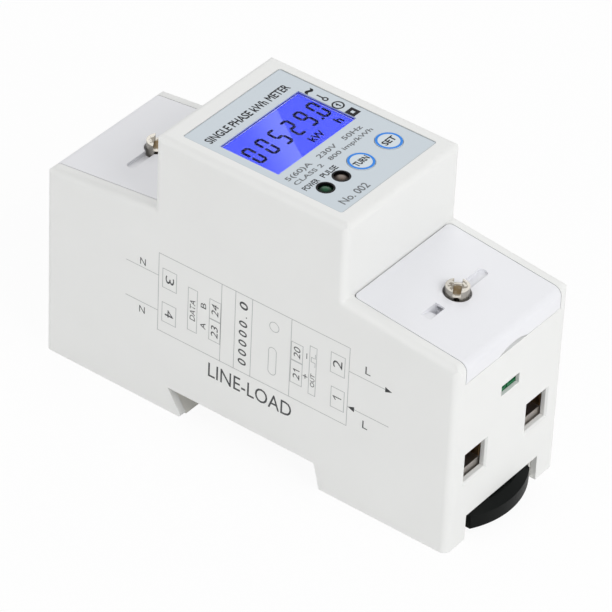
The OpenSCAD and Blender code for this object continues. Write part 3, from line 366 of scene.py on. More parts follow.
def printed_film():
    """Polyester over a silver-grey ground, darker in a thin line round its cut edge."""
    paint = Paint("face film", (0.50, 0.56, 0.61), 0.3, Coat_Weight=0.25, Coat_Roughness=0.12)
    x, y, z = paint.axes()
    flakes = paint.noise(0.09, detail=1)
    shade = paint.noise(30, detail=1)
    ground = paint.blend(shade, (0.465, 0.54, 0.60), (0.505, 0.57, 0.62))
    speckled = paint.blend(flakes * 0.22, ground, (0.67, 0.71, 0.75))
    along = paint.step(abs(x - film_middle.x), film_half.x - 0.22, film_half.x - 0.08)
    across = paint.step(abs(y - film_middle.y), film_half.y - 0.22, film_half.y - 0.08)
    edge = along + across - along * across
    paint.feed("Base Color", paint.blend(edge * 0.6, speckled, (0.20, 0.23, 0.25)))
    paint.feed("Roughness", 0.26 + flakes * 0.08)
    paint.relief(flakes, 0.0006)
    return paint


film_finish = printed_film()
print("film", round(2 * film_half.x, 1), "x", round(2 * film_half.y, 1))

# %% [markdown]
# The display is a blue, back-lit liquid crystal. It glows by itself, so its colour is an emission. A painted
# reflection of the studio light lies on it as a paler wedge, which starts at a straight line across the glass and
# fades away from it: the distance from that line, worked out from two of its points, drives the mix.

# %% Back-lit display
WEDGE_START = Vector((-11.7, 5.0))
WEDGE_END = Vector((2.6, -5.0))
wedge_run = (WEDGE_END - WEDGE_START).normalized()


def display_glass():
    """Blue back-lit glass with a painted reflection: a paler wedge on one side of a slanted line."""
    paint = Paint("display glass", (0.01, 0.015, 0.10), 0.12, Specular_IOR_Level=0.0)
    x, y, z = paint.axes()
    across = (y - WEDGE_START.y) * wedge_run.x - (x - WEDGE_START.x) * wedge_run.y
    side = paint.step(across, -0.12, 0.0, 1, 0)
    fade = paint.step(across, -9.5, 0.0)
    unlit = paint.noise(9, detail=1)
    blue = paint.blend(unlit, (0.070, 0.092, 0.86), (0.082, 0.108, 0.95))
    # painted reflection: the paler wedge of studio light is mixed into the emission colour
    paint.feed("Emission Color", paint.blend(side * fade * 0.85, blue, (0.20, 0.24, 1.0)))
    paint.feed("Emission Strength", 1.0)
    paint.feed("Roughness", 0.1 + unlit * 0.06)
    return paint


display_finish = display_glass()
print("wedge runs along", [round(v, 2) for v in wedge_run])

# %% [markdown]
# The pane over the display is clear, and it reaches a little under the film all round. That hidden edge is painted
# blue and given a painted glow in place of the display's light, so the eye that looks in under the film still sees
# blue there.

# %% Window pane
PANE_LEDGE = 0.6
pane_middle = (pane_low + pane_high) / 2
window_half = (pane_high - pane_low) / 2 - Vector((PANE_LEDGE, PANE_LEDGE, 0))
clear_pane = Paint("clear pane", (0.97, 0.98, 1.0), 0.02, Transmission_Weight=1.0, IOR=1.08)
pane_smear = clear_pane.noise(6, detail=3)
clear_pane.feed("Roughness", clear_pane.step(pane_smear, 0.45, 0.8, 0.0, 0.05))
pane_x, pane_y, pane_z = clear_pane.axes()
beyond_x = clear_pane.step(abs(pane_x - pane_middle.x), window_half.x, window_half.x + 0.02)
beyond_y = clear_pane.step(abs(pane_y - pane_middle.y), window_half.y, window_half.y + 0.02)
# painted glow: beyond the window the pane is coloured blue and glows, standing in for the display's light
painted_edge_glow = beyond_x + beyond_y - beyond_x * beyond_y
clear_pane.feed("Base Color", clear_pane.blend(painted_edge_glow, (0.97, 0.98, 1.0), (0.06, 0.07, 0.5)))
clear_pane.feed("Emission Color", clear_pane.blend(painted_edge_glow, (0, 0, 0), (0.018, 0.023, 0.23)))
clear_pane.feed("Emission Strength", 1.0)
print("window", [round(2 * v, 1) for v in window_half.xy])

# %% [markdown]
# ## Keys and lamps
# A key is a pale rubber cap. A lamp is a clear or tinted lens over a dark chip, with a painted highlight: its colour
# is lighter in the middle, where the lens gathers the light, and dark towards its collar. The distance from the
# lamp's own axis makes that difference, and the axis is read from the lamp's box.

# %% Keys and lamps
def lamp_lens(name, node, middle, rim):
    """A coloured lens with a painted highlight that makes it lighter round its axis, and small bubbles in it."""
    low, high = box_mm(node)
    axis = (low + high) / 2
    paint = Paint(name, middle, 0.2, Specular_IOR_Level=0.14)
    x, y, z = paint.axes()
    reach = ((x - axis.x) ** 2 + (y - axis.y) ** 2).root()
    bubbles = paint.noise(0.35, detail=3)
    # painted highlight: the lens colour is lighter round its axis and darker towards the collar
    glow = paint.step(reach + bubbles * 0.5, 0.55, 1.35, 1, 0)
    paint.feed("Base Color", paint.blend(glow, rim, middle))
    paint.feed("Roughness", 0.15 + bubbles * 0.12)
    paint.relief(bubbles, 0.004)
    return paint


key_rubber = moulded("key rubber", (0.66, 0.73, 0.78), 0.5, grain_mm=0.2, edge_mm=0.15)
green_lens = lamp_lens("green lens", "power_led", (0.012, 0.085, 0.035), (0.004, 0.022, 0.010))
smoke_lens = lamp_lens("smoke lens", "pulse_led", (0.20, 0.16, 0.135), (0.045, 0.036, 0.03))
collar_plastic = moulded("collar plastic", (0.004, 0.004, 0.005), 0.35, edge_mm=0.1, Specular_IOR_Level=0.08)
print("keys and lamps have", len(bpy.data.materials), "materials before them")

# %% [markdown]
# ## What is inside
# Nobody sees the boards until the case is opened, but they are finished as real ones are: solder mask with the
# weave of the glass cloth under it, chips with a matt moulded top, and the capacitors in their usual colours.

# %% Boards and components
def solder_mask():
    """Green lacquer over woven glass cloth."""
    paint = Paint("solder mask", (0.02, 0.16, 0.06), 0.3, Coat_Weight=0.4, Coat_Roughness=0.15)
    x, y, z = paint.axes()
    weave = (x * 9).wave() * (y * 9).wave() * 0.5 + 0.5
    cloud = paint.noise(5, detail=2)
    paint.feed("Base Color", paint.blend(weave * 0.5 + cloud * 0.4, (0.015, 0.12, 0.045), (0.03, 0.20, 0.08)))
    paint.feed("Roughness", 0.24 + cloud * 0.12)
    paint.relief(weave, 0.01)
    return paint


def dipped(name, colour, roughness):
    """A dipped or sleeved component: smooth, with a few soft lumps."""
    paint = Paint(name, colour, roughness, Coat_Weight=0.3)
    lumps = paint.noise(2.5, detail=2)
    paint.feed("Base Color", paint.blend(lumps, tuple(0.82 * part for part in colour), colour))
    paint.feed("Roughness", roughness - 0.04 + lumps * 0.1)
    paint.relief(lumps, 0.03, 0.2)
    return paint


board_green = solder_mask()
chip_black = moulded("chip resin", (0.02, 0.02, 0.022), 0.55, grain_mm=0.08)
capacitor_yellow = dipped("capacitor case", (0.68, 0.46, 0.05), 0.35)
capacitor_sleeve = dipped("capacitor sleeve", (0.02, 0.03, 0.11), 0.25)
varistor_blue = dipped("varistor lacquer", (0.03, 0.11, 0.33), 0.3)
resistor_lacquer = dipped("resistor lacquer", (0.33, 0.42, 0.30), 0.35)
print("board nodes:", len(board_green.tree.nodes))

# %% [markdown]
# A ribbon lead is a row of round wires in one skin, so its height is a wave across its width. Its colour follows that
# wave as painted shade, darker in the grooves between the wires.

# %% Ribbon lead
def ribbon_skin():
    """Grey skin over a row of wires 1.27 mm apart, with painted shade in the grooves between them."""
    paint = Paint("ribbon skin", (0.32, 0.34, 0.36), 0.45)
    x, y, z = paint.axes()
    wires = (y * (2 * math.pi / 1.27)).wave() * 0.5 + 0.5
    # painted shade: the colour is darker in the grooves between the wires and lighter on their crests
    paint.feed("Base Color", paint.blend(wires, (0.22, 0.23, 0.25), (0.36, 0.38, 0.40)))
    paint.feed("Roughness", 0.4 + paint.noise(0.3) * 0.1)
    paint.relief(wires, 0.12)
    return paint


ribbon_grey = ribbon_skin()
print("ribbon nodes:", len(ribbon_grey.tree.nodes))

# %% [markdown]
# ## Giving each solid its finish
# A solid keeps its mesh, and only the material in its slots changes.

# %% Finish of every solid
finishes = {
    case_plastic: ["outer_case"],
    cover_plastic: ["line_cover", "neutral_cover"],
    base_plastic: ["base"],
    clip_plastic: ["din_clip"],
    tray_plastic: ["lcd_frame"],
    signal_plastic: ["pulse_terminal", "data_terminal"],
    switch_plastic: ["key_switches"],
    plunger_plastic: ["set_plunger", "turn_plunger"],
    socket_plastic: ["ribbon_sockets"],
    opto_plastic: ["optocouplers"],
    sealing_metal: ["seal_screws"],
    zinc: ["display_screws", "board_screws", "terminal_screws", "signal_screws"],
    spring_steel: ["clip_spring"],
    copper: ["shunt_arms", "neutral_link"],
    resistance_alloy: ["shunt_element"],
    crystal_can: ["crystal"],
    terminal_metal: ["line_in_terminal", "line_out_terminal", "neutral_in_terminal", "neutral_out_terminal"],
    film_finish: ["face_film"],
    display_finish: ["lcd_glass"],
    clear_pane: ["window_pane"],
    key_rubber: ["set_key", "turn_key"],
    green_lens: ["power_led"],
    smoke_lens: ["pulse_led"],
    collar_plastic: ["led_collars"],
    board_green: ["display_board", "main_board"],
    chip_black: ["metering_chip", "control_chip"],
    capacitor_yellow: ["film_capacitor"],
    capacitor_sleeve: ["bulk_capacitor"],
    varistor_blue: ["varistor"],
    resistor_lacquer: ["fuse_resistor"],
    ribbon_grey: ["ribbon_lead"],
}
dressed = set()
for paint, names in finishes.items():
    for name in names:
        nodes[name].data.materials.clear()
        nodes[name].data.materials.append(paint.material)
        dressed.add(name)
print("dressed", len(dressed), "left plain:", sorted(set(nodes) - dressed))

# %% [markdown]
# ## Print
# The print on a meter is ink about a hundredth of a millimetre thick. It could be a texture, but a texture gets
# blurred when it is baked, and small figures suffer first. Here each mark is a thin solid of ink: it is drawn
# flat on a page in millimetres, given its thickness, and laid on the face that carries it.
#
# A page knows where its face lies and which way it reads. Ink that is written along the rail starts at the
# near end, and ink on the front film reads away from the printed side, as on the real meter. The marks of the
# side were measured on a plane half a millimetre inside its face, so their page moves out along the line of sight.

# %% Inks
def ink(name, colour, roughness=0.5, **fixed):
    """Screen ink: matt, with the slight unevenness of the mesh that it was pressed through."""
    paint = Paint(name, colour, roughness, **fixed)
    mesh = paint.noise(0.12)
    lighter = tuple(min(1, part * 1.15 + 0.01) for part in colour)
    paint.feed("Base Color", paint.blend(mesh, colour, lighter))
    paint.feed("Roughness", roughness - 0.05 + mesh * 0.1)
    return paint


black_ink = ink("black ink", (0.008, 0.008, 0.010), 0.4, Specular_IOR_Level=0.06)
grey_ink = ink("grey ink", (0.13, 0.14, 0.15), 0.45, Specular_IOR_Level=0.15)
side_ink = ink("side ink", (0.055, 0.057, 0.06), Specular_IOR_Level=0.2)
line_ink = ink("line ink", (0.40, 0.41, 0.41))
blue_ink = ink("blue ink", (0.02, 0.22, 0.72), 0.35, Specular_IOR_Level=0.12)
segment_ink = ink("display segment", (0.001, 0.001, 0.01), 0.5, Specular_IOR_Level=0.0,
                  Emission_Color=(0.0, 0.0, 0.03), Emission_Strength=1.0)

# %% Pages
class Page:
    """A flat face that carries print, with its origin and its reading and upward directions."""

    def __init__(self, origin, run, rise, thick=0.012):
        self.origin = Vector(origin)
        self.run = Vector(run)
        self.rise = Vector(rise)
        self.thick = thick

    def matrix(self):
        turn = Matrix((self.run, self.rise, self.run.cross(self.rise))).transposed().to_4x4()
        return Matrix.Scale(MM, 4) @ Matrix.Translation(self.origin) @ turn


MEASURED_DEPTH = 0.5
side_y = case_low.y
side_shift = back * (MEASURED_DEPTH / -back.y)
side_origin = (side_shift.x, side_y, side_shift.z)
side = Page(side_origin, (1, 0, 0), (0, 0, 1))
side_upward = Page(side_origin, (0, 0, 1), (-1, 0, 0))
side_downward = Page(side_origin, (0, 0, -1), (1, 0, 0))
front = Page((0, 0, film_high.z), (0, 1, 0), (-1, 0, 0))
print("side page at y =", round(side_y, 2), "front page at z =", round(film_high.z, 2))

# %% [markdown]
# The marks are drawn with Blender's own tools. `start` adds a primitive and goes into edit mode, `stop` comes
# back. A frame is a rectangle that is inset by the width of its line, after which the inner face goes. A round
# bar starts as a circle, of which one half is moved away. Before each of them everything is deselected, because
# an operator acts on all that is selected.

# %% Flat shapes on a page
def deselect():
    bpy.ops.object.select_all(action="DESELECT")


def shaped(add, **settings):
    """Adds a primitive at the page's origin and leaves it open in edit mode, selected all over."""
    deselect()
    add(location=(0, 0, 0), **settings)
    bpy.ops.object.mode_set(mode="EDIT")
    return bpy.context.object


def closed(obj):
    bpy.ops.object.mode_set(mode="OBJECT")
    return obj


def bar(low, high):
    """A filled rectangle between two corners."""
    obj = shaped(bpy.ops.mesh.primitive_plane_add, size=1)
    bpy.ops.transform.resize(value=(high[0] - low[0], high[1] - low[1], 1))
    bpy.ops.transform.translate(value=((low[0] + high[0]) / 2, (low[1] + high[1]) / 2, 0))
    return closed(obj)


def hollow(stroke):
    """Keeps only a line of one width round the shape that is open in edit mode."""
    bpy.ops.mesh.inset(thickness=stroke)
    bpy.ops.mesh.delete(type="FACE")


def outline(low, high, stroke=0.16):
    """The outline of a rectangle."""
    obj = bar(low, high)
    bpy.ops.object.mode_set(mode="EDIT")
    bpy.ops.mesh.select_all(action="SELECT")
    hollow(stroke)
    return closed(obj)


def disc(centre, radius, stroke=None, corners=64):
    """A disc, or a ring if a line width is given."""
    obj = shaped(bpy.ops.mesh.primitive_circle_add, vertices=corners, radius=radius, fill_type="NGON")
    bpy.ops.transform.translate(value=(centre[0], centre[1], 0))
    if stroke:
        hollow(stroke)
    return closed(obj)


def select_where(obj, test):
    """Selects the vertices whose place passes a test."""
    bpy.ops.mesh.select_all(action="DESELECT")
    bpy.ops.object.mode_set(mode="OBJECT")
    for vertex in obj.data.vertices:
        vertex.select = test(vertex.co)
    bpy.ops.object.mode_set(mode="EDIT")


def round_bar(low, high, stroke):
    """An upright bar with round ends, as a line."""
    radius = (high[0] - low[0]) / 2
    obj = shaped(bpy.ops.mesh.primitive_circle_add, vertices=32, radius=radius, fill_type="NGON")
    bpy.ops.transform.translate(value=(low[0] + radius, low[1] + radius, 0))
    select_where(obj, lambda co: co.y > low[1] + radius + 0.001)
    bpy.ops.transform.translate(value=(0, high[1] - low[1] - 2 * radius, 0))
    bpy.ops.mesh.select_all(action="SELECT")
    hollow(stroke)
    return closed(obj)


print("flat shapes: bar, outline, disc, round bar")

# %% [markdown]
# Words come from a text object. It is made a mesh first, because a text that is moved or scaled while it is
# still a text loses that when it is converted. Then it is stretched to the box that was measured for it, which
# is also how a condensed type is had from a plain one.
#
# A bolder type needs thicker strokes. A text has a setting for that, but it fills an M or a W where the strokes
# meet. `bolder` moves each point of the finished outline outwards instead, along the middle of its two edges.

# %% Words on a page
LONGEST_MITRE = 1.6


def bolder(obj, amount):
    """Moves the outline of a flat shape outwards by an amount, which makes its strokes thicker."""
    corners = obj.data.vertices
    uses = {}
    for polygon in obj.data.polygons:
        for key in polygon.edge_keys:
            uses[key] = uses.get(key, 0) + 1
    normals = {}
    for polygon in obj.data.polygons:
        ring = list(polygon.vertices)
        for start, end in zip(ring, ring[1:] + ring[:1]):
            if uses[min(start, end), max(start, end)] == 1:
                along = (corners[end].co - corners[start].co).normalized()
                for corner in (start, end):
                    normals.setdefault(corner, []).append(Vector((along.y, -along.x, 0)))
    for corner, found in normals.items():
        middle = sum(found, Vector()).normalized()
        mitre = min(LONGEST_MITRE, 1 / max(0.1, middle.dot(found[0])))
        corners[corner].co += middle * mitre * amount


def word(text, low, high, weight=0.0, lean=0.0):
    """Text fitted between two corners, with a heavier stroke and a lean to the right if asked."""
    deselect()
    bpy.ops.object.text_add(location=(0, 0, 0))
    obj = bpy.context.object
    obj.data.body = text
    obj.data.resolution_u = 3
    bpy.ops.object.convert(target="MESH")
    obj = bpy.context.object
    bpy.ops.object.mode_set(mode="EDIT")
    bpy.ops.mesh.select_all(action="SELECT")
    bpy.ops.mesh.remove_doubles(threshold=0.0001)
    closed(obj)
    bolder(obj, weight)
    obj.data.transform(Matrix(((1, lean, 0, 0), (0, 1, 0, 0), (0, 0, 1, 0), (0, 0, 0, 1))))
    across = [vertex.co.x for vertex in obj.data.vertices]
    upright = [vertex.co.y for vertex in obj.data.vertices]
    scale_x = (high[0] - low[0]) / (max(across) - min(across))
    scale_y = (high[1] - low[1]) / (max(upright) - min(upright))
    fitted = Matrix.Diagonal((scale_x, scale_y, 1, 1)) @ Matrix.Translation((-min(across), -min(upright), 0))
    obj.data.transform(Matrix.Translation((low[0], low[1], 0)) @ fitted)
    return obj


# %% [markdown]
# In the built-in type a one is a bare stroke, which would swell to a block when it is fitted to a box. So the
# one is drawn: a stem, and a flag that leans from its top.

# %% The figure one
def one(low, high, stroke):
    """A one between two corners, as a stem with a flag."""
    stem = bar((high[0] - stroke, low[1]), high)
    reach = high[0] - low[0]
    flag = bar((-reach, -stroke / 2), (0, stroke / 2))
    slanted = Matrix.Rotation(math.radians(38), 4, "Z")
    flag.data.transform(Matrix.Translation((high[0] - stroke * 0.3, high[1] - stroke * 0.65, 0)) @ slanted)
    return [stem, flag]


print("a one is a stem and a flag")

# %% [markdown]
# `printed` joins the marks of one ink, gives them their thickness with a Solidify modifier, lays them on their
# page and lets them ride on the body that carries them.

# %% Laying print on the meter
SUNK_MM = 0.002


def printed(name, marks, page, paint, body="meter"):
    """Joins flat marks, thickens them and lays them on a page."""
    deselect()
    for mark in marks:
        mark.select_set(True)
    bpy.context.view_layer.objects.active = marks[0]
    if len(marks) > 1:
        bpy.ops.object.join()
    obj = bpy.context.view_layer.objects.active
    obj.name = name
    solid = obj.modifiers.new("ink", "SOLIDIFY")
    solid.thickness = page.thick
    solid.offset = 1
    bpy.ops.object.modifier_apply(modifier=solid.name)
    obj.data.transform(page.matrix() @ Matrix.Translation((0, 0, -SUNK_MM)))
    bpy.ops.object.mode_set(mode="EDIT")
    bpy.ops.mesh.select_all(action="SELECT")
    bpy.ops.mesh.normals_make_consistent(inside=False)
    bpy.ops.object.mode_set(mode="OBJECT")
    obj.data.materials.clear()
    obj.data.materials.append(paint.material)
    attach(obj, body)
    print(name, len(obj.data.polygons), "faces")
    return obj


# %% [markdown]
# ## The wiring diagram on the side
# The long side carries the wiring diagram: a tall frame for the meter, in it the terminals as small numbered
# boxes, the display as a strip of noughts, and outside it the line and neutral wires with their arrows. Heights
# are counted from the feet, as they were measured, and one value takes them to the rail seat.

# %% Lines of the diagram
FOOT = case_low.z
DIAGRAM_LOW = FOOT + 18.4
DIAGRAM_HIGH = FOOT + 37.3
DIAGRAM_LEFT = -21.8
DIAGRAM_RIGHT = 24.8
LINE = 0.15


def up(height):
    """A height above the feet, as a height on the side page."""
    return FOOT + height


diagram = [outline((DIAGRAM_LEFT, DIAGRAM_LOW), (DIAGRAM_RIGHT, DIAGRAM_HIGH), LINE)]
for x in (-6.2, -2.8, 1.3, 10.8):
    diagram.append(bar((x - LINE / 2, DIAGRAM_LOW), (x + LINE / 2, DIAGRAM_HIGH)))

small_boxes = {
    "3": ((-20.8, 29.4), (-17.2, 34.1)),
    "4": ((-20.8, 21.1), (-17.2, 25.9)),
    "24": ((-9.1, 27.6), (-6.2, 32.4)),
    "23": ((-9.1, 22.4), (-6.2, 27.6)),
    "20": ((10.9, 27.7), (13.8, 32.1)),
    "21": ((10.9, 22.2), (13.8, 27.7)),
    "2": ((20.3, 29.4), (23.8, 34.3)),
    "1": ((20.7, 21.2), (24.0, 26.2)),
    "data": ((-14.4, 22.2), (-12.0, 32.6)),
    "pulse": ((15.3, 21.5), (17.1, 33.2)),
}
for low, high in small_boxes.values():
    diagram.append(outline((low[0], up(low[1])), (high[0], up(high[1])), LINE))
diagram.append(disc((6.7, up(33.2)), 1.2, LINE, corners=40))
diagram.append(round_bar((5.5, up(21.5)), (7.55, up(28.2)), LINE))
for x0, x1, z in ((24.8, 34.8, 31.7), (24.8, 34.6, 23.2), (-29.9, -21.8, 31.75), (-29.9, -21.8, 23.2)):
    diagram.append(bar((x0, up(z) - LINE / 2), (x1, up(z) + LINE / 2)))
side_lines = printed("side_lines", diagram, side, line_ink)

# %% [markdown]
# The arrows show which way the current goes: out at the upper wire, in at the lower one. An arrow head is a
# circle with three corners, drawn out to its length.

# %% Arrows and the pulse sign
def arrow_head(tip, length, half_width, way=1):
    """A filled arrow head that points to the right, or to the left if way is -1."""
    obj = shaped(bpy.ops.mesh.primitive_circle_add, vertices=3, radius=1, fill_type="NGON")
    bpy.ops.mesh.select_all(action="SELECT")
    closed(obj)
    xs = sorted(vertex.co.y for vertex in obj.data.vertices)
    span = xs[-1] - xs[0]
    turned = Matrix.Rotation(-way * math.pi / 2, 4, "Z")
    sized = Matrix.Diagonal((length / span, half_width / math.sin(math.pi / 3), 1, 1))
    obj.data.transform(Matrix.Translation((tip[0] - way * length * xs[-1] / span, tip[1], 0)) @ sized @ turned)
    return obj


heads = [arrow_head((34.9, up(31.7)), 1.6, 0.62), arrow_head((24.9, up(23.2)), 1.5, 0.62, way=-1)]
heads.append(bar((14.6, up(29.6)), (14.78, up(30.9))))
side_heads = printed("side_arrows", heads, side, side_ink)

# %% [markdown]
# Most of the diagram's figures stand on their side and read upwards, so they go on a page whose reading
# direction points up. The figures of the neutral end read downwards.

# %% Figures that read upwards and downwards
def rising(text, x, z, **style):
    """A word between x (its top and bottom) and z (its start and end), reading upwards."""
    return word(text, (up(z[0]), -x[1]), (up(z[1]), -x[0]), **style)


def falling(text, x, z, **style):
    """A word between x (its bottom and top) and z (its end and start), reading downwards."""
    return word(text, (-up(z[1]), x[0]), (-up(z[0]), x[1]), **style)


rising_words = [
    rising("24", (-8.55, -6.85), (28.7, 31.4), lean=0.12),
    rising("23", (-8.55, -6.85), (23.4, 26.2), lean=0.12),
    rising("20", (11.55, 13.15), (28.6, 31.2), lean=0.12),
    rising("2", (11.55, 13.15), (23.4, 24.7), lean=0.12),
    *one((up(25.1), -13.15), (up(25.75), -11.55), 0.2),
    rising("2", (20.9, 23.1), (31.0, 32.9), weight=-0.004),
    *one((up(23.2), -23.3), (up(24.15), -21.2), 0.22),
    rising("DATA", (-13.85, -12.55), (24.9, 29.9), lean=0.12),
    rising("OUT", (15.75, 16.75), (23.5, 26.6), weight=0.004),
    rising("B", (-11.2, -9.9), (29.2, 30.5)),
    rising("A", (-11.2, -9.9), (24.2, 25.7)),
    rising("0 0 0 0 0", (-1.8, 0.25), (20.3, 30.9), weight=0.014, lean=0.1),
    rising(".", (-0.2, 0.1), (31.9, 32.2), weight=0.01),
    rising("0", (-1.8, 0.25), (33.7, 35.5), weight=0.014, lean=0.1),
    rising("+", (13.95, 15.05), (24.7, 25.8)),
]
side_rising = printed("side_figures_rising", rising_words, side_upward, side_ink)
falling_words = [
    falling("3", (-20.0, -17.9), (30.8, 32.6), weight=-0.004),
    falling("4", (-20.0, -17.9), (22.6, 24.4), weight=-0.004),
]
side_falling = printed("side_figures_falling", falling_words, side_downward, side_ink)

# %% [markdown]
# The letters of the wires and the plain description below the diagram stand upright.

# %% Upright words of the side
upright_words = [
    word("L", (28.5, up(33.0)), (29.7, up(34.8))),
    word("L", (28.5, up(19.9)), (29.7, up(21.7))),
    word("N", (-26.4, up(32.35)), (-25.0, up(33.95))),
    word("N", (-26.4, up(20.6)), (-25.0, up(22.2))),
    word("LINE-LOAD", (-8.9, up(13.4)), (11.6, up(16.8))),
]
side_upright = printed("side_words", upright_words, side, side_ink)

# %% [markdown]
# The square wave in its tall box stands for the pulse output. It is a chain of five short bars.

# %% Pulse sign
def square_wave(x0, x1, z0, length, stroke):
    """A single pulse that runs upwards, drawn with bars."""
    quarter = length / 3
    return [
        bar((x1 - stroke, z0), (x1, z0 + quarter)),
        bar((x0, z0 + quarter - stroke / 2), (x1, z0 + quarter + stroke / 2)),
        bar((x0, z0 + quarter), (x0 + stroke, z0 + 2 * quarter)),
        bar((x0, z0 + 2 * quarter - stroke / 2), (x1, z0 + 2 * quarter + stroke / 2)),
        bar((x1 - stroke, z0 + 2 * quarter), (x1, z0 + 3 * quarter)),
    ]


side_pulse = printed("side_pulse_sign", square_wave(15.7, 16.8, up(28.4), 3.2, LINE), side, line_ink)

# %% [markdown]
# ## The front film
# The title runs along the display, above it for a reader who stands at the side. The ratings stand below the
# display in grey, the names of the lamps in black. All of them read away from the printed side.

# %% Words of the film
def on_film(text, x, y, **style):
    """A word on the film between x (its top and bottom) and y (its start and end)."""
    return word(text, (y[0], -x[1]), (y[1], -x[0]), **style)


black_words = [
    on_film("SINGLE PHASE kWh METER", (-15.0, -13.0), (-13.4, 11.4), weight=0.022),
    on_film("POWER", (8.65, 10.0), (-13.6, -9.3), weight=0.02),
    on_film("PULSE", (8.65, 10.0), (-8.1, -3.6), weight=0.02),
]
film_black = printed("film_title", black_words, front, black_ink)
grey_words = [
    on_film("5(60)A   230V   50Hz", (4.35, 5.95), (-13.4, 9.9), weight=0.018),
    on_film("CLASS 2   800 imp/kWh", (6.45, 7.85), (-13.4, 10.6), weight=0.018),
    on_film("No. 002", (16.3, 18.1), (-12.4, -4.3), weight=0.014),
]
film_grey = printed("film_ratings", grey_words, front, grey_ink)

# %% [markdown]
# Beside the display stand four small signs: alternating current, a key, the number of its phases in a circle,
# and the double square of an insulated housing.

# %% Signs of the film
SIGN_Y = 12.7


def sign(x):
    """The place on the front page of a sign that stands at x."""
    return SIGN_Y, -x


def shifted(low, high, place):
    return bar((place[0] + low[0], place[1] + low[1]), (place[0] + high[0], place[1] + high[1]))


key_place = sign(-6.5)
phase_place = sign(-2.6)
square_place = sign(0.93)
signs = [
    on_film("~", (-10.3, -9.1), (11.6, 13.8), weight=0.03),
    shifted((-0.17, -0.3), (0.17, 1.3), key_place),
    disc((key_place[0], key_place[1] - 0.8), 0.66, 0.32, corners=32),
    disc(phase_place, 1.3, 0.34, corners=40),
    *one((12.35, 1.95), (12.95, 3.25), 0.3),
    outline((square_place[0] - 1.15, square_place[1] - 1.15), (square_place[0] + 1.15, square_place[1] + 1.15), 0.75),
]
film_signs = printed("film_signs", signs, front, black_ink)

# %% [markdown]
# ## The digits of the display
# A seven-segment digit has bars with pointed ends that leave thin gaps between them. One bar is a circle with six
# corners whose right half is moved out to the bar's length. The bars of all digits are copies of it, each with
# its own mesh, turned and moved to their places, and the whole row leans to the right.

# %% One segment and its copies
def segment(length, width):
    """A bar with pointed ends that lies along x, centred on the page's origin."""
    radius = width / math.sqrt(3)
    obj = shaped(bpy.ops.mesh.primitive_circle_add, vertices=6, radius=radius, fill_type="NGON")
    bpy.ops.transform.rotate(value=math.pi / 2, orient_axis="Z", center_override=(0, 0, 0))
    for way in (-1, 1):
        select_where(obj, lambda co: co.x * way > 0.001)
        bpy.ops.transform.translate(value=(way * (length / 2 - radius), 0, 0))
    return closed(obj)


def copied(obj, matrix):
    """A copy with a mesh of its own, moved by a matrix."""
    twin = obj.copy()
    twin.data = obj.data.copy()
    bpy.context.scene.collection.objects.link(twin)
    twin.data.transform(matrix)
    return twin


print("segment ready")

# %% [markdown]
# The marks of the display were measured where the eye sees them on the film. The glass lies deeper, and the
# line of sight is slanted, so each mark is moved back along that line to the depth of the glass. The pane in
# between bends the sight a little, which makes a sixth of its own thickness disappear.

# %% Page of the display
PANE_BEND = 0.17
pane_thickness = pane_high.z - pane_low.z
seen_depth = film_high.z - glass_high.z - PANE_BEND * pane_thickness
shift_x = -back.x / back.z * seen_depth
shift_y = -back.y / back.z * seen_depth
display = Page((shift_x, shift_y, glass_high.z), (0, 1, 0), (-1, 0, 0))
print("display is seen", round(seen_depth, 2), "mm deep, shift", round(shift_x, 2), round(shift_y, 2))

# %% Digits
DIGIT_TOP = -7.45
DIGIT_BOTTOM = -1.8
DIGIT_START = -12.3
DIGIT_PITCH = 4.0
DIGIT_WIDTH = 2.4
DIGIT_LEAN = 0.05
MIDDLE_GAP = 0.32
STROKE = 0.66
SEGMENTS = {"0": "abcdef", "2": "abged", "5": "afgcd", "9": "abcdfg"}


def digit(figure, start, flat, tall):
    """The lit segments of one figure that starts at a place along the row."""
    height = DIGIT_BOTTOM - DIGIT_TOP
    low = -DIGIT_BOTTOM
    reach = height - STROKE
    wide = DIGIT_WIDTH - STROKE
    middle = start + DIGIT_WIDTH / 2
    upper = low + STROKE / 2 + reach * 0.75 + MIDDLE_GAP / 4
    lower = low + STROKE / 2 + reach * 0.25 - MIDDLE_GAP / 4
    places = {
        "a": (flat, middle, low + STROKE / 2 + reach),
        "g": (flat, middle, low + STROKE / 2 + reach / 2),
        "d": (flat, middle, low + STROKE / 2),
        "b": (tall, middle + wide / 2, upper),
        "c": (tall, middle + wide / 2, lower),
        "f": (tall, middle - wide / 2, upper),
        "e": (tall, middle - wide / 2, lower),
    }
    lit = [places[name] for name in SEGMENTS[figure]]
    return [copied(part, Matrix.Translation((u, v, 0))) for part, u, v in lit]


flat_segment = segment(DIGIT_WIDTH - STROKE * 1.05, STROKE)
tall_segment = segment((DIGIT_BOTTOM - DIGIT_TOP - STROKE - MIDDLE_GAP) / 2 - 0.06, STROKE)
tall_segment.data.transform(Matrix.Rotation(math.pi / 2, 4, "Z"))
digit_marks = []
for place, figure in enumerate("005290"):
    digit_marks += digit(figure, DIGIT_START + place * DIGIT_PITCH, flat_segment, tall_segment)
for mark in digit_marks:
    for vertex in mark.data.vertices:
        vertex.co.x += DIGIT_LEAN * (vertex.co.y + DIGIT_BOTTOM)
for spare in (flat_segment, tall_segment):
    bpy.data.objects.remove(spare)
point_place = DIGIT_START + 5 * DIGIT_PITCH - 0.45
digit_marks.append(bar((point_place - 0.3, -DIGIT_BOTTOM), (point_place + 0.3, -DIGIT_BOTTOM + 0.6)))
print("segments and point:", len(digit_marks))

# %% [markdown]
# The unit beside the digits is part of the same glass: kilowatt, and the hour further on, which lights up with
# it while the display shows energy.

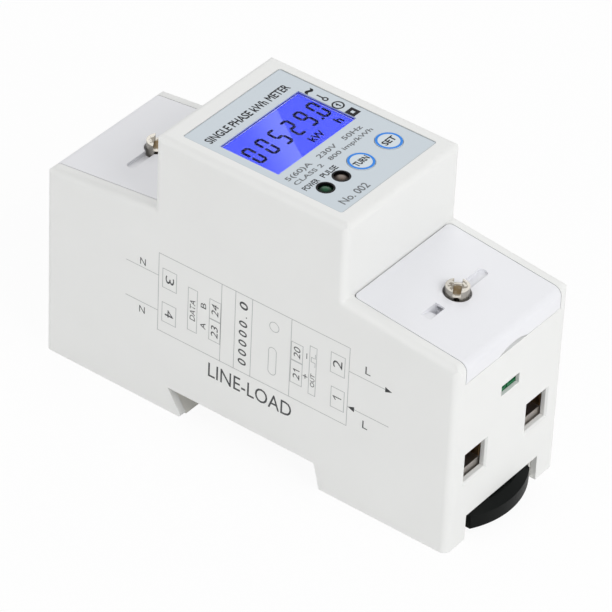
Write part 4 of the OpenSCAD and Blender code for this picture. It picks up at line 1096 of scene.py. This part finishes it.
# %% Unit of the display
unit_marks = [
    on_film("kW", (-0.45, 1.4), (-0.1, 3.8), weight=0.03),
    on_film("h", (-0.5, 1.45), (8.1, 9.5), weight=0.035),
]
display_segments = printed("display_segments", digit_marks + unit_marks, display, segment_ink)

# %% [markdown]
# ## Keys and their rings
# Each key has a blue ring printed round its edge and its name across the middle. They ride on the key, so they
# go down with it when it is pressed.

# %% Print of the keys
RING_STROKE = 0.52


def key_print(node, name, body, length, height):
    """The ring and the name of a key, placed from the key's own box."""
    low, high = box_mm(node)
    middle = (low + high) / 2
    cap = Page((0, 0, high.z), (0, 1, 0), (-1, 0, 0))
    ring = disc((middle.y, -middle.x), KEY_RADIUS - 0.04, RING_STROKE, corners=72)
    printed(node + "_ring", [ring], cap, blue_ink, body)
    letters = on_film(name, (middle.x - height / 2, middle.x + height / 2),
                      (middle.y - length / 2, middle.y + length / 2), weight=0.03)
    printed(node + "_name", [letters], cap, black_ink, body)


KEY_RADIUS = 2.75
key_print("set_key", "SET", "set_button", 3.4, 1.5)
key_print("turn_key", "TURN", "turn_button", 3.9, 1.5)

# %% [markdown]
# ## The studio
# The meter stands on a wide pale floor that ends in a white world. Whatever the camera, a reflection or a piece
# of glass sees of that world is plain white, while the light that it sheds is kept at a level at which a colour
# comes out as it is written. The floor shows mostly its own white to the camera, and keeps a soft shadow.

# %% Floor
WHITE = (1, 1, 1)
WORLD_LIGHT = 0.56
FLOOR_GLOW = 0.93
deselect()
bpy.ops.mesh.primitive_plane_add(size=6, location=(0, 0, 0))
floor = bpy.context.object
floor.name = "floor"
floor.data.transform(Matrix.Translation((0, 0, cad_box[0].z)))


def seen_directly(tree):
    """One where a ray comes from the camera, a reflection or clear glass, and nought elsewhere."""
    path = tree.nodes.new("ShaderNodeLightPath")
    total = path.outputs["Is Camera Ray"]
    for name in ("Is Glossy Ray", "Is Transmission Ray"):
        joined = tree.nodes.new("ShaderNodeMath")
        joined.operation = "MAXIMUM"
        tree.links.new(total, joined.inputs[0])
        tree.links.new(path.outputs[name], joined.inputs[1])
        total = joined.outputs[0]
    return total


floor_paint = bpy.data.materials.new("floor white")
floor_paint.use_nodes = True
tree = floor_paint.node_tree
tree.nodes.clear()
matt = tree.nodes.new("ShaderNodeBsdfDiffuse")
matt.inputs["Color"].default_value = (0.92, 0.92, 0.92, 1)
glow = tree.nodes.new("ShaderNodeEmission")
glow.inputs["Color"].default_value = (*WHITE, 1)
share = tree.nodes.new("ShaderNodeMath")
share.operation = "MULTIPLY"
share.inputs[1].default_value = FLOOR_GLOW
tree.links.new(seen_directly(tree), share.inputs[0])
mixed = tree.nodes.new("ShaderNodeMixShader")
tree.links.new(share.outputs[0], mixed.inputs[0])
tree.links.new(matt.outputs[0], mixed.inputs[1])
tree.links.new(glow.outputs[0], mixed.inputs[2])
floor_output = tree.nodes.new("ShaderNodeOutputMaterial")
tree.links.new(mixed.outputs[0], floor_output.inputs["Surface"])
floor.data.materials.append(floor_paint)
print("floor at z =", round(cad_box[0].z / MM, 2))

# %% World
world = bpy.data.worlds.new("studio")
bpy.context.scene.world = world
world.use_nodes = True
tree = world.node_tree
tree.nodes.clear()
shed = tree.nodes.new("ShaderNodeMapRange")
shed.inputs["To Min"].default_value = WORLD_LIGHT
shed.inputs["To Max"].default_value = 1
tree.links.new(seen_directly(tree), shed.inputs["Value"])
sky = tree.nodes.new("ShaderNodeBackground")
sky.inputs["Color"].default_value = (*WHITE, 1)
tree.links.new(shed.outputs[0], sky.inputs["Strength"])
world_output = tree.nodes.new("ShaderNodeOutputWorld")
tree.links.new(sky.outputs[0], world_output.inputs["Surface"])
print("world sheds", WORLD_LIGHT)

# %% [markdown]
# Three large lamps give the faces their difference. The brightest stands at the line end and above, where the
# photograph has its light, a weak one fills the printed side, and one stands behind for the far edges. A lamp's
# strength is given as the share of light that a white card facing it would take, and its power follows from
# its distance.

# %% Lamps
def lamp(name, direction, distance, size, card_light):
    """A square lamp that looks at the meter and lights a card there by a given share of white."""
    data = bpy.data.lights.new(name, "AREA")
    data.size = size
    data.energy = card_light * (math.pi * distance) ** 2
    obj = bpy.data.objects.new(name, data)
    bpy.context.scene.collection.objects.link(obj)
    aim = Vector(direction).normalized()
    obj.matrix_world = Matrix.Translation(aim * distance) @ aim.to_track_quat("Z", "Y").to_matrix().to_4x4()
    print(name, round(data.energy, 2), "W")


lamp("key lamp", (0.85, -0.10, 0.62), 1.2, 0.8, 0.45)
lamp("fill lamp", (-0.25, -0.95, 0.30), 1.4, 1.0, 0.20)
lamp("rear lamp", (-0.50, 0.80, 0.60), 1.4, 0.9, 0.16)

# %% [markdown]
# ## Colour
# The Standard view shows each colour as it was written.

# %% View
bpy.context.scene.view_settings.view_transform = "Standard"
